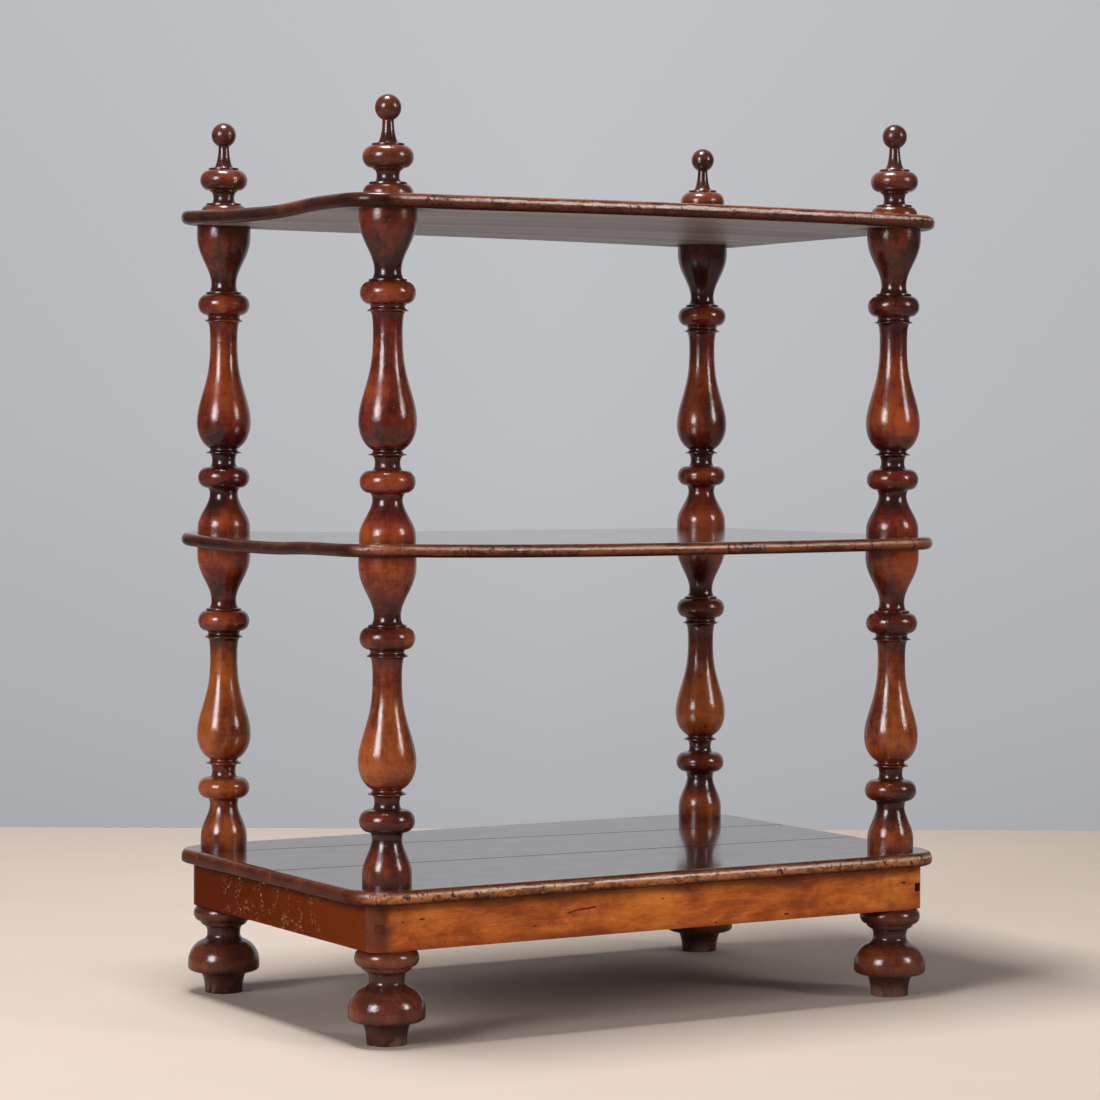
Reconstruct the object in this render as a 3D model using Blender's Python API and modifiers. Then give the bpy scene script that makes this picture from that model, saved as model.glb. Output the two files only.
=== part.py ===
"""Etagere: three tiers on four stacks of turned columns, over a framed base with turned feet.

Metres, +Z up. The origin is on the floor, midway between the four stacks. The front is at -Y.
"""

import math

import bmesh
import bpy
from mathutils import Matrix

# Driving sizes: the grid of the column stacks and the height of each storey
COLUMN_SPACING_X = 0.7216
COLUMN_SPACING_Y = 0.4400
FOOT_HEIGHT = 0.1110
APRON_HEIGHT = 0.0550
BASE_THICKNESS = 0.0180
LOWER_COLUMN_HEIGHT = 0.3810
MIDDLE_SHELF_THICKNESS = 0.0160
UPPER_COLUMN_HEIGHT = 0.3855
TOP_SHELF_THICKNESS = 0.0175
FINIAL_HEIGHT = 0.1160

# Fits
SEAT_GAP = 0.0003
BORE_CLEARANCE = 0.0003
SPIGOT_END_GAP = 0.0020
CUT_OVERRUN = 0.0100

# Spigots that join the turned pieces
SPIGOT_RADIUS = 0.0090
SPIGOT_REACH = 0.0220

# Shelves
SHELF_OVERHANG_SIDE = 0.0592
SHELF_OVERHANG_FRONT = 0.0460
SHELF_CORNER_RADIUS = 0.0600
SHELF_EDGE_RADIUS = 0.0065

# Base top, three boards with tapering joints
BASE_OVERHANG_SIDE = 0.0215
BASE_OVERHANG_FRONT = 0.0225
BASE_CORNER_RADIUS = 0.0550
BASE_EDGE_RADIUS = 0.0075
FRONT_JOINT_TILT = math.radians(-3.6)
BACK_JOINT_TILT = math.radians(-6.5)
BOARD_GAP = 0.0012

# How far each joint lies from the middle of the base, as a share of its half depth
FRONT_JOINT_SHARE = 0.19
BACK_JOINT_SHARE = 0.50

# Apron and its corner blocks
FRONT_RAIL_THICKNESS = 0.0160
SIDE_RAIL_THICKNESS = 0.0220
APRON_CORNER_RADIUS = 0.0150
TENON_WIDTH = 0.0100
TENON_HEIGHT = 0.0100
BLOCK_WIDTH = 0.0500
BLOCK_WALL = 0.0026

# Mouldings that the turned pieces share
TORUS_HEIGHT = 0.0262
TORUS_RADIUS = 0.0326
TORUS_ROOT_RADIUS = 0.0212
FILLET_HEIGHT = 0.0026
FILLET_RADIUS = 0.0223

# Column: head drum and bell, torus and collar, vase, collar and torus, foot bell and drum
HEAD_RADIUS = 0.0338
HEAD_DRUM_HEIGHT = 0.0078
HEAD_NECK_RADIUS = 0.0158
HEAD_FLARE_HEIGHT = 0.0100
GROOVE_HEIGHT = 0.0026
GROOVE_RADIUS = 0.0198
COLLAR_HEIGHT = 0.0070
COLLAR_RADIUS = 0.0238
THROAT_RADIUS = 0.0174
VASE_RADIUS = 0.0341
VASE_FOOT_RADIUS = 0.0171
LOW_COLLAR_RADIUS = 0.0222
LOW_NECK_HEIGHT = 0.0160
LOW_NECK_RADIUS = 0.0150
LOW_FLARE_RADIUS = 0.0180
FOOT_NECK_HEIGHT = 0.0075
FOOT_NECK_RADIUS = 0.0177
UPPER_FOOT_RADIUS = 0.0331
UPPER_FOOT_DRUM_HEIGHT = 0.0090
LOWER_FOOT_RADIUS = 0.0291
LOWER_FOOT_DRUM_HEIGHT = 0.0147

# How a column's long curves share the height that its mouldings leave
HEAD_BELL_SHARE = 0.235
THROAT_SHARE = 0.080
VASE_SWELL_SHARE = 0.396
VASE_CLOSE_SHARE = 0.127

# Finial, from its ball down to its base
BALL_RADIUS = 0.0155
SPIRE_TIP_RADIUS = 0.0067
SPIRE_FOOT_RADIUS = 0.0125
DISC_HEIGHT = 0.0030
DISC_RADIUS = 0.0191
BEAD_HEIGHT = 0.0255
BEAD_RADIUS = 0.0298
BEAD_ROOT_RADIUS = 0.0195
SCOTIA_HEIGHT = 0.0165
SCOTIA_RADIUS = 0.0132
SCOTIA_FOOT_RADIUS = 0.0150
FINIAL_BASE_HEIGHT = 0.0115
FINIAL_BASE_RADIUS = 0.0296

# Foot, from the ring under the apron down to the floor
FOOT_RING_HEIGHT = 0.0200
FOOT_RING_RADIUS = 0.0380
FOOT_RING_ROOT_RADIUS = 0.0300
FOOT_FILLET_HEIGHT = 0.0050
FOOT_FILLET_RADIUS = 0.0290
ANKLE_HEIGHT = 0.0090
ANKLE_RADIUS = 0.0210
CUP_RADIUS = 0.0452
CUP_DRUM_HEIGHT = 0.0065
CUP_LIP_HEIGHT = 0.0055
CUP_LIP_RADIUS = 0.0335
PLINTH_HEIGHT = 0.0265
PLINTH_TOP_RADIUS = 0.0315
PLINTH_RADIUS = 0.0236

# Counts and angles of the facets
TURNED_STEPS = 12
CORNER_STEPS = 5
BALL_STEPS = 5
LONG_CURVE_STEPS = 4
SHORT_CURVE_STEPS = 3
MOULDING_STEPS = 2
EDGE_RESOLUTION = 1
QUARTER_TURN = math.pi / 2
CLOSING_SWEEP = math.radians(70)
SMOOTH_ANGLE = math.radians(38)
MERGE_DISTANCE = 0.00001

# Pure numbers that lean a long curve towards one of its ends
EVEN_LEAN = 1.0
BELL_LEAN = 1.15
VASE_LEAN = 1.4
FOOT_BELL_LEAN = 0.93
CUP_LEAN = 0.8

# An edge is rounded by no more than this share of its board's thickness
EDGE_LIMIT_SHARE = 0.45

# Levels of the storeys, from the floor up
APRON_LEVEL = FOOT_HEIGHT
BASE_LEVEL = APRON_LEVEL + APRON_HEIGHT
LOWER_COLUMN_LEVEL = BASE_LEVEL + BASE_THICKNESS
MIDDLE_SHELF_LEVEL = LOWER_COLUMN_LEVEL + LOWER_COLUMN_HEIGHT
UPPER_COLUMN_LEVEL = MIDDLE_SHELF_LEVEL + MIDDLE_SHELF_THICKNESS
TOP_SHELF_LEVEL = UPPER_COLUMN_LEVEL + UPPER_COLUMN_HEIGHT
FINIAL_LEVEL = TOP_SHELF_LEVEL + TOP_SHELF_THICKNESS

# Half sizes in plan, from the column grid outwards
COLUMN_X = COLUMN_SPACING_X / 2
COLUMN_Y = COLUMN_SPACING_Y / 2
BORE_RADIUS = SPIGOT_RADIUS + BORE_CLEARANCE
BLOCK_OUTER_X = COLUMN_X + BORE_RADIUS + BLOCK_WALL
BLOCK_OUTER_Y = COLUMN_Y + BORE_RADIUS + BLOCK_WALL
RAIL_INNER_X = BLOCK_OUTER_X + SEAT_GAP
RAIL_INNER_Y = BLOCK_OUTER_Y + SEAT_GAP
APRON_X = RAIL_INNER_X + SIDE_RAIL_THICKNESS
APRON_Y = RAIL_INNER_Y + FRONT_RAIL_THICKNESS
SHELF_X = COLUMN_X + SHELF_OVERHANG_SIDE
SHELF_Y = COLUMN_Y + SHELF_OVERHANG_FRONT
BASE_X = APRON_X + BASE_OVERHANG_SIDE
BASE_Y = APRON_Y + BASE_OVERHANG_FRONT

# Spigots reach past a shelf into the piece below, or halfway into a corner block
BORE_DEPTH = SPIGOT_REACH + SPIGOT_END_GAP
BLOCK_REACH = APRON_HEIGHT / 2 - SPIGOT_END_GAP

CORNERS = {
    "front_left": (-1, -1),
    "front_right": (1, -1),
    "back_left": (-1, 1),
    "back_right": (1, 1),
}


class Outline:
    """One side of a turned piece: points of (radius, level), drawn from the top down."""

    def __init__(self, radius, level):
        self.points = [(radius, level)]

    def line(self, radius, drop=0.0):
        """A straight stretch to a radius, some way down."""
        self.points.append((radius, self.points[-1][1] - drop))

    def curve(self, radius, drop, steps, path):
        """A curve whose path gives the shares of the way across and down at each share."""
        start_radius, start_level = self.points[-1]
        for step in range(1, steps + 1):
            across, down = path(step / steps)
            self.points.append((start_radius + (radius - start_radius) * across, start_level - drop * down))

    def spread(self, radius, drop, steps):
        """A quarter of an oval that starts level and ends upright."""
        self.curve(radius, drop, steps, lambda share: (
            math.sin(share * QUARTER_TURN), 1 - math.cos(share * QUARTER_TURN)))

    def close(self, radius, drop, steps, sweep=QUARTER_TURN):
        """Part of an oval that starts upright and turns towards level."""
        self.curve(radius, drop, steps, lambda share: (
            (1 - math.cos(share * sweep)) / (1 - math.cos(sweep)), math.sin(share * sweep) / math.sin(sweep)))

    def sway(self, radius, drop, steps, lean=EVEN_LEAN):
        """A double curve that is upright at both ends."""
        self.curve(radius, drop, steps, lambda share: ((1 - math.cos(math.pi * share ** lean)) / 2, share))

    def torus(self, radius, root_radius, height):
        """A round moulding from root to root."""
        self.line(root_radius)
        self.spread(radius, height / 2, MOULDING_STEPS)
        self.close(root_radius, height / 2, MOULDING_STEPS)

    def ring(self, radius, root_radius, height):
        """A thin moulding that comes to an edge."""
        self.line(radius, height / 2)
        self.line(root_radius, height / 2)


def collection(name):
    """A new collection in the scene."""
    made = bpy.data.collections.new(name)
    bpy.context.scene.collection.children.link(made)
    return made


def material(name, colour, roughness, metallic=0.0):
    """A plain surface with its colour, roughness and metallic value."""
    made = bpy.data.materials.new(name)
    made.use_nodes = True
    shader = made.node_tree.nodes["Principled BSDF"]
    shader.inputs["Base Color"].default_value = (*colour, 1.0)
    shader.inputs["Roughness"].default_value = roughness
    shader.inputs["Metallic"].default_value = metallic
    return made


def turned_wood():
    """Polished red-brown wood of the turned pieces."""
    return material("turned_wood", (0.190, 0.048, 0.022), 0.22)


def shelf_wood():
    """Polished brown wood of the shelves."""
    return material("shelf_wood", (0.150, 0.050, 0.028), 0.25)


def base_wood():
    """Dark polished wood of the boards of the base."""
    return material("base_wood", (0.110, 0.040, 0.024), 0.24)


def front_rail_wood():
    """Orange-brown wood of the long rails."""
    return material("front_rail_wood", (0.330, 0.112, 0.035), 0.30)


def side_rail_wood():
    """Red-brown wood of the short rails."""
    return material("side_rail_wood", (0.165, 0.046, 0.020), 0.30)


def block_wood():
    """Bare wood of the hidden corner blocks."""
    return material("block_wood", (0.230, 0.130, 0.070), 0.70)


def add_object(name, mesh, group, location=(0.0, 0.0, 0.0)):
    """An object that carries a mesh, in one of the collections."""
    made = bpy.data.objects.new(name, mesh)
    made.location = location
    group.objects.link(made)
    return made


def add_cutter(name, mesh, group, location=(0.0, 0.0, 0.0)):
    """An object that only cuts others."""
    made = add_object(name, mesh, group, location)
    made.hide_render = True
    made.display_type = "WIRE"
    return made


def combine(target, tool, operation):
    """A Boolean between an object and a tool."""
    modifier = target.modifiers.new(tool.name, "BOOLEAN")
    modifier.operation = operation
    modifier.object = tool


def settled_mesh(source, name):
    """The mesh that an object evaluates to, its seams welded, with the object taken away."""
    bpy.context.view_layer.update()
    evaluated = source.evaluated_get(bpy.context.evaluated_depsgraph_get())
    mesh = bpy.data.meshes.new_from_object(evaluated)
    mesh.name = name
    mesh.transform(source.matrix_world)
    bpy.data.objects.remove(source)
    welded = bmesh.new()
    welded.from_mesh(mesh)
    bmesh.ops.remove_doubles(welded, verts=welded.verts, dist=MERGE_DISTANCE)
    bmesh.ops.recalc_face_normals(welded, faces=welded.faces)
    welded.to_mesh(mesh)
    welded.free()
    mesh.shade_smooth()
    mesh.set_sharp_from_angle(angle=SMOOTH_ANGLE)
    return mesh


def turned_mesh(name, outline, surface):
    """A turned piece from its outline, which runs from the axis round to the axis."""
    profile = bpy.data.meshes.new(name + "_outline")
    places = [(radius, 0.0, level) for radius, level in outline.points]
    edges = [(index, index + 1) for index in range(len(places) - 1)]
    profile.from_pydata(places, edges, [])
    turned = bpy.data.objects.new(name + "_turning", profile)
    bpy.context.scene.collection.objects.link(turned)
    screw = turned.modifiers.new("turn", "SCREW")
    screw.steps = TURNED_STEPS
    screw.render_steps = TURNED_STEPS
    screw.use_merge_vertices = True
    screw.merge_threshold = MERGE_DISTANCE
    mesh = settled_mesh(turned, name)
    mesh.materials.append(surface)
    return mesh


def box_mesh(name, size_x, size_y, size_z):
    """A box about its own centre."""
    solid = bmesh.new()
    bmesh.ops.create_cube(solid, size=1.0, matrix=Matrix.Diagonal((size_x, size_y, size_z, 1.0)))
    mesh = bpy.data.meshes.new(name)
    solid.to_mesh(mesh)
    solid.free()
    return mesh


def rounded_rectangle(half_x, half_y, radius):
    """Points of a rectangle with round corners, anticlockwise from the right side."""
    points = []
    for turn, (side_x, side_y) in enumerate(((1, 1), (-1, 1), (-1, -1), (1, -1))):
        for step in range(CORNER_STEPS + 1):
            angle = QUARTER_TURN * (turn + step / CORNER_STEPS)
            points.append((
                side_x * (half_x - radius) + radius * math.cos(angle),
                side_y * (half_y - radius) + radius * math.sin(angle),
            ))
    return points


def slab_mesh(name, half_x, half_y, corner_radius, thickness, edge_radius=0.0):
    """A flat board with round corners and rounded edges, standing on its own underside."""
    rounding = min(edge_radius, thickness * EDGE_LIMIT_SHARE)
    outline = rounded_rectangle(half_x, half_y, corner_radius)
    curve = bpy.data.curves.new(name + "_outline", "CURVE")
    curve.dimensions = "2D"
    curve.fill_mode = "BOTH"
    curve.extrude = thickness / 2 - rounding
    curve.bevel_depth = rounding
    curve.bevel_resolution = EDGE_RESOLUTION
    curve.offset = -rounding
    spline = curve.splines.new("POLY")
    spline.points.add(len(outline) - 1)
    for point, (x, y) in zip(spline.points, outline):
        point.co = (x, y, 0.0, 1.0)
    spline.use_cyclic_u = True
    slab = bpy.data.objects.new(name + "_slab", curve)
    slab.location.z = thickness / 2
    bpy.context.scene.collection.objects.link(slab)
    mesh = settled_mesh(slab, name)
    bpy.data.curves.remove(curve)
    return mesh


def cylinder_mesh(name, radius, length):
    """A cylinder that stands on its own foot."""
    solid = bmesh.new()
    bmesh.ops.create_cone(
        solid, cap_ends=True, segments=TURNED_STEPS, radius1=radius, radius2=radius, depth=length,
        matrix=Matrix.Translation((0.0, 0.0, length / 2)))
    mesh = bpy.data.meshes.new(name)
    solid.to_mesh(mesh)
    solid.free()
    return mesh


def bored_start(radius, height):
    """The top of a bored piece: bore floor, bore wall and flat rim out to a radius."""
    outline = Outline(0.0, height - BORE_DEPTH)
    outline.line(BORE_RADIUS)
    outline.line(BORE_RADIUS, -BORE_DEPTH)
    outline.line(radius)
    return outline


def spigot_end(outline, reach):
    """The foot of a piece: flat shoulder, spigot and spigot end."""
    outline.line(SPIGOT_RADIUS)
    outline.line(SPIGOT_RADIUS, reach)
    outline.line(0.0)


def column_outline(storey, foot_radius, foot_drum, reach):
    """Outline of a column that fills a storey, with a bore above and a spigot below."""
    height = storey - SEAT_GAP
    mouldings = (HEAD_DRUM_HEIGHT + HEAD_FLARE_HEIGHT + FILLET_HEIGHT + GROOVE_HEIGHT + 2 * TORUS_HEIGHT
                 + 2 * COLLAR_HEIGHT + LOW_NECK_HEIGHT + FOOT_NECK_HEIGHT + foot_drum)
    spare = height - mouldings
    head_bell = spare * HEAD_BELL_SHARE
    throat = spare * THROAT_SHARE
    vase_swell = spare * VASE_SWELL_SHARE
    vase_close = spare * VASE_CLOSE_SHARE
    foot_bell = spare - head_bell - throat - vase_swell - vase_close

    outline = bored_start(HEAD_RADIUS, height)
    outline.line(HEAD_RADIUS, HEAD_DRUM_HEIGHT)
    outline.sway(HEAD_NECK_RADIUS, head_bell, LONG_CURVE_STEPS, BELL_LEAN)
    outline.line(GROOVE_RADIUS, HEAD_FLARE_HEIGHT)
    outline.line(FILLET_RADIUS)
    outline.line(FILLET_RADIUS, FILLET_HEIGHT)
    outline.torus(TORUS_RADIUS, TORUS_ROOT_RADIUS, TORUS_HEIGHT)
    outline.line(GROOVE_RADIUS, GROOVE_HEIGHT)
    outline.ring(COLLAR_RADIUS, GROOVE_RADIUS, COLLAR_HEIGHT)
    outline.line(THROAT_RADIUS, throat)
    outline.sway(VASE_RADIUS, vase_swell, LONG_CURVE_STEPS, VASE_LEAN)
    outline.close(VASE_FOOT_RADIUS, vase_close, SHORT_CURVE_STEPS, CLOSING_SWEEP)
    outline.ring(LOW_COLLAR_RADIUS, VASE_FOOT_RADIUS, COLLAR_HEIGHT)
    outline.line(LOW_NECK_RADIUS, LOW_NECK_HEIGHT / 2)
    outline.line(LOW_FLARE_RADIUS, LOW_NECK_HEIGHT / 2)
    outline.torus(TORUS_RADIUS, TORUS_ROOT_RADIUS, TORUS_HEIGHT)
    outline.line(FOOT_NECK_RADIUS, FOOT_NECK_HEIGHT)
    outline.sway(foot_radius, foot_bell, SHORT_CURVE_STEPS, FOOT_BELL_LEAN)
    outline.line(foot_radius, foot_drum)
    spigot_end(outline, reach)
    return outline


def finial_outline():
    """Outline of a finial: ball, spire, disc, bead, scotia, fillet and base, over a spigot."""
    height = FINIAL_HEIGHT - SEAT_GAP
    ball_drop = BALL_RADIUS + math.sqrt(BALL_RADIUS ** 2 - SPIRE_TIP_RADIUS ** 2)
    ball_turn = math.pi - math.asin(SPIRE_TIP_RADIUS / BALL_RADIUS)
    spire = (height - ball_drop - DISC_HEIGHT - BEAD_HEIGHT - SCOTIA_HEIGHT - FILLET_HEIGHT
             - FINIAL_BASE_HEIGHT)

    outline = Outline(0.0, height)
    for step in range(1, BALL_STEPS + 1):
        turn = ball_turn * step / BALL_STEPS
        outline.points.append((BALL_RADIUS * math.sin(turn), height - BALL_RADIUS * (1 - math.cos(turn))))
    outline.close(SPIRE_FOOT_RADIUS, spire, SHORT_CURVE_STEPS, CLOSING_SWEEP)
    outline.line(DISC_RADIUS)
    outline.line(DISC_RADIUS, DISC_HEIGHT)
    outline.torus(BEAD_RADIUS, BEAD_ROOT_RADIUS, BEAD_HEIGHT)
    outline.line(SCOTIA_RADIUS, SCOTIA_HEIGHT / 2)
    outline.line(SCOTIA_FOOT_RADIUS, SCOTIA_HEIGHT / 2)
    outline.line(FILLET_RADIUS)
    outline.line(FILLET_RADIUS, FILLET_HEIGHT)
    outline.spread(FINIAL_BASE_RADIUS, FINIAL_BASE_HEIGHT, MOULDING_STEPS)
    spigot_end(outline, TOP_SHELF_THICKNESS + SPIGOT_REACH)
    return outline


def foot_outline():
    """Outline of a foot: spigot, ring, fillet, ankle, cup and tapered plinth."""
    height = FOOT_HEIGHT - SEAT_GAP
    cup_height = (height - FOOT_RING_HEIGHT - FOOT_FILLET_HEIGHT - ANKLE_HEIGHT - CUP_DRUM_HEIGHT
                  - CUP_LIP_HEIGHT - PLINTH_HEIGHT)

    outline = Outline(0.0, height + BLOCK_REACH)
    outline.line(SPIGOT_RADIUS)
    outline.line(SPIGOT_RADIUS, BLOCK_REACH)
    outline.torus(FOOT_RING_RADIUS, FOOT_RING_ROOT_RADIUS, FOOT_RING_HEIGHT)
    outline.line(FOOT_FILLET_RADIUS)
    outline.line(FOOT_FILLET_RADIUS, FOOT_FILLET_HEIGHT)
    outline.spread(ANKLE_RADIUS, ANKLE_HEIGHT, MOULDING_STEPS)
    outline.sway(CUP_RADIUS, cup_height, LONG_CURVE_STEPS, CUP_LEAN)
    outline.line(CUP_RADIUS, CUP_DRUM_HEIGHT)
    outline.close(CUP_LIP_RADIUS, CUP_LIP_HEIGHT, MOULDING_STEPS)
    outline.line(PLINTH_TOP_RADIUS)
    outline.spread(PLINTH_RADIUS, PLINTH_HEIGHT, SHORT_CURVE_STEPS)
    outline.line(0.0)
    return outline


def add_turned_set(name, outline, level, surface, group):
    """Four alike turned pieces, one at each corner of the column grid."""
    mesh = turned_mesh(name, outline, surface)
    for corner, (side_x, side_y) in CORNERS.items():
        place = (side_x * COLUMN_X, side_y * COLUMN_Y, level)
        add_object(f"{name}_{corner}", mesh, group, place)


def add_bore_cutters(group):
    """A long cutter on each column axis, for the holes in shelves, boards and blocks."""
    length = FINIAL_LEVEL - APRON_LEVEL + 2 * CUT_OVERRUN
    mesh = cylinder_mesh("column_bore", BORE_RADIUS, length)
    cutters = {}
    for corner, (side_x, side_y) in CORNERS.items():
        place = (side_x * COLUMN_X, side_y * COLUMN_Y, APRON_LEVEL - CUT_OVERRUN)
        cutters[corner] = add_cutter(f"bore_{corner}", mesh, group, place)
    return cutters


def add_shelf(name, thickness, level, surface, group, bores):
    """A shelf with a hole for each column spigot."""
    mesh = slab_mesh(name, SHELF_X, SHELF_Y, SHELF_CORNER_RADIUS, thickness - SEAT_GAP, SHELF_EDGE_RADIUS)
    mesh.materials.append(surface)
    shelf = add_object(name, mesh, group, (0.0, 0.0, level))
    for bore in bores.values():
        combine(shelf, bore, "DIFFERENCE")


def add_joint_cutter(name, joint, tilt, side, group):
    """All that lies on one side of a joint between two boards, as a box turned to the joint."""
    reach = 2 * (BASE_X + BASE_Y)
    mesh = box_mesh(name, reach, reach, BASE_THICKNESS + 2 * CUT_OVERRUN)
    mesh.transform(Matrix.Translation((0.0, side * (reach - BOARD_GAP) / 2, 0.0)))
    cutter = add_cutter(name, mesh, group, (0.0, joint, BASE_LEVEL + BASE_THICKNESS / 2))
    cutter.rotation_euler.z = tilt
    return cutter


def add_base_boards(surface, group, cutters, bores):
    """The three boards of the base top, cut from one outline along two tapering joints."""
    front_joint = (-FRONT_JOINT_SHARE * BASE_Y, FRONT_JOINT_TILT)
    back_joint = (BACK_JOINT_SHARE * BASE_Y, BACK_JOINT_TILT)
    before_front = add_joint_cutter("before_front_joint", *front_joint, -1, cutters)
    behind_front = add_joint_cutter("behind_front_joint", *front_joint, 1, cutters)
    before_back = add_joint_cutter("before_back_joint", *back_joint, -1, cutters)
    behind_back = add_joint_cutter("behind_back_joint", *back_joint, 1, cutters)
    tools = {
        "front": (behind_front, bores["front_left"], bores["front_right"]),
        "middle": (before_front, behind_back),
        "back": (before_back, bores["back_left"], bores["back_right"]),
    }
    mesh = slab_mesh(
        "base_top", BASE_X, BASE_Y, BASE_CORNER_RADIUS, BASE_THICKNESS - SEAT_GAP, BASE_EDGE_RADIUS)
    mesh.materials.append(surface)
    for place, cuts in tools.items():
        board = add_object(f"base_board_{place}", mesh, group, (0.0, 0.0, BASE_LEVEL))
        for cut in cuts:
            combine(board, cut, "DIFFERENCE")


def add_apron(front_surface, side_surface, group, cutters):
    """Four rails: the long ones take the through tenons of the short ones."""
    height = APRON_HEIGHT - SEAT_GAP
    middle = APRON_LEVEL + height / 2
    tenon_x = APRON_X - SIDE_RAIL_THICKNESS / 2
    long_y = 2 * (APRON_Y + CUT_OVERRUN)

    envelope_mesh = slab_mesh("apron_envelope", APRON_X, APRON_Y, APRON_CORNER_RADIUS,
                              APRON_HEIGHT + 2 * CUT_OVERRUN)
    envelope = add_cutter("apron_envelope", envelope_mesh, cutters, (0.0, 0.0, APRON_LEVEL - CUT_OVERRUN))
    tenon_mesh = box_mesh("tenon", TENON_WIDTH, long_y, TENON_HEIGHT)
    mortise_mesh = box_mesh(
        "mortise", TENON_WIDTH + 2 * SEAT_GAP, long_y, TENON_HEIGHT + 2 * SEAT_GAP)

    long_size_x = 2 * (APRON_X + CUT_OVERRUN)
    long_size_y = FRONT_RAIL_THICKNESS + CUT_OVERRUN
    long_mesh = box_mesh("long_rail", long_size_x, long_size_y, height)
    long_mesh.materials.append(front_surface)
    short_mesh = box_mesh("short_rail", SIDE_RAIL_THICKNESS, 2 * (RAIL_INNER_Y - SEAT_GAP), height)
    short_mesh.materials.append(side_surface)

    mortises = []
    for place, side in (("left", -1), ("right", 1)):
        spot = (side * tenon_x, 0.0, middle)
        mortises.append(add_cutter(f"mortise_{place}", mortise_mesh, cutters, spot))
        tenon = add_cutter(f"tenon_{place}", tenon_mesh, cutters, spot)
        rail = add_object(f"apron_{place}", short_mesh, group, spot)
        combine(rail, tenon, "UNION")
        combine(rail, envelope, "INTERSECT")
    for place, side in (("front", -1), ("back", 1)):
        spot = (0.0, side * (RAIL_INNER_Y + long_size_y / 2), middle)
        rail = add_object(f"apron_{place}", long_mesh, group, spot)
        combine(rail, envelope, "INTERSECT")
        for mortise in mortises:
            combine(rail, mortise, "DIFFERENCE")


def add_corner_blocks(surface, group, bores):
    """A bored block in each corner of the apron."""
    height = APRON_HEIGHT - SEAT_GAP
    mesh = box_mesh("corner_block", BLOCK_WIDTH, BLOCK_WIDTH, height)
    mesh.materials.append(surface)
    for corner, (side_x, side_y) in CORNERS.items():
        place = (
            side_x * (BLOCK_OUTER_X - BLOCK_WIDTH / 2),
            side_y * (BLOCK_OUTER_Y - BLOCK_WIDTH / 2),
            APRON_LEVEL + height / 2,
        )
        block = add_object(f"corner_block_{corner}", mesh, group, place)
        combine(block, bores[corner], "DIFFERENCE")


def main():
    for old in list(bpy.data.objects):
        bpy.data.objects.remove(old, do_unlink=True)
    parts = collection("etagere")
    cutters = collection("etagere_cutters")
    turned = turned_wood()
    shelf = shelf_wood()
    bores = add_bore_cutters(cutters)

    add_turned_set("foot", foot_outline(), 0.0, turned, parts)
    add_apron(front_rail_wood(), side_rail_wood(), parts, cutters)
    add_corner_blocks(block_wood(), parts, bores)
    add_base_boards(base_wood(), parts, cutters, bores)
    add_turned_set(
        "lower_column",
        column_outline(LOWER_COLUMN_HEIGHT, LOWER_FOOT_RADIUS, LOWER_FOOT_DRUM_HEIGHT,
                       BASE_THICKNESS + BLOCK_REACH),
        LOWER_COLUMN_LEVEL, turned, parts)
    add_shelf("middle_shelf", MIDDLE_SHELF_THICKNESS, MIDDLE_SHELF_LEVEL, shelf, parts, bores)
    add_turned_set(
        "upper_column",
        column_outline(UPPER_COLUMN_HEIGHT, UPPER_FOOT_RADIUS, UPPER_FOOT_DRUM_HEIGHT,
                       MIDDLE_SHELF_THICKNESS + SPIGOT_REACH),
        UPPER_COLUMN_LEVEL, turned, parts)
    add_shelf("top_shelf", TOP_SHELF_THICKNESS, TOP_SHELF_LEVEL, shelf, parts, bores)
    add_turned_set("finial", finial_outline(), FINIAL_LEVEL, turned, parts)


if __name__ == "__main__":
    main()
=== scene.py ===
import math

import bmesh
import bpy
from bpy.props import FloatProperty, FloatVectorProperty, IntProperty, PointerProperty
from mathutils import Matrix, Vector, noise


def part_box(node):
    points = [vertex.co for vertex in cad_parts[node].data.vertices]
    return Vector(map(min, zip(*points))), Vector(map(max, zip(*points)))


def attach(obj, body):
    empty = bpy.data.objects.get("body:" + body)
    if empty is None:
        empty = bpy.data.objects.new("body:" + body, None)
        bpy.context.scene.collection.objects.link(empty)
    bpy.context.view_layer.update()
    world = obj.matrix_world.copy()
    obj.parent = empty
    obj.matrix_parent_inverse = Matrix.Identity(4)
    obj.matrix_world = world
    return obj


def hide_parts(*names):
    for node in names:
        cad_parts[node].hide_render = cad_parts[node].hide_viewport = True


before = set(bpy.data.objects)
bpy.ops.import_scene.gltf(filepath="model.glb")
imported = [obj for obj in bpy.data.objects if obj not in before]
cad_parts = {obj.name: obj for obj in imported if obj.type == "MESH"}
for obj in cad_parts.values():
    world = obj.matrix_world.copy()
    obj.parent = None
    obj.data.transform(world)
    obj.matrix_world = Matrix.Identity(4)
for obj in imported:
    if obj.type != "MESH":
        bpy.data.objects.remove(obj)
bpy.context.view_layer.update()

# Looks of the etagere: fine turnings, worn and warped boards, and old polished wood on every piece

bl_info = {
    "name": "Etagere looks",
    "version": (1, 0, 0),
    "blender": (4, 5, 0),
    "location": "3D View > Sidebar > Etagere",
    "description": "Turned columns, boards, rails and stage of a three-tier etagere",
    "category": "Add Mesh",
}

CORNERS = ("front_left", "front_right", "back_left", "back_right")
BODY = "root"

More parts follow.
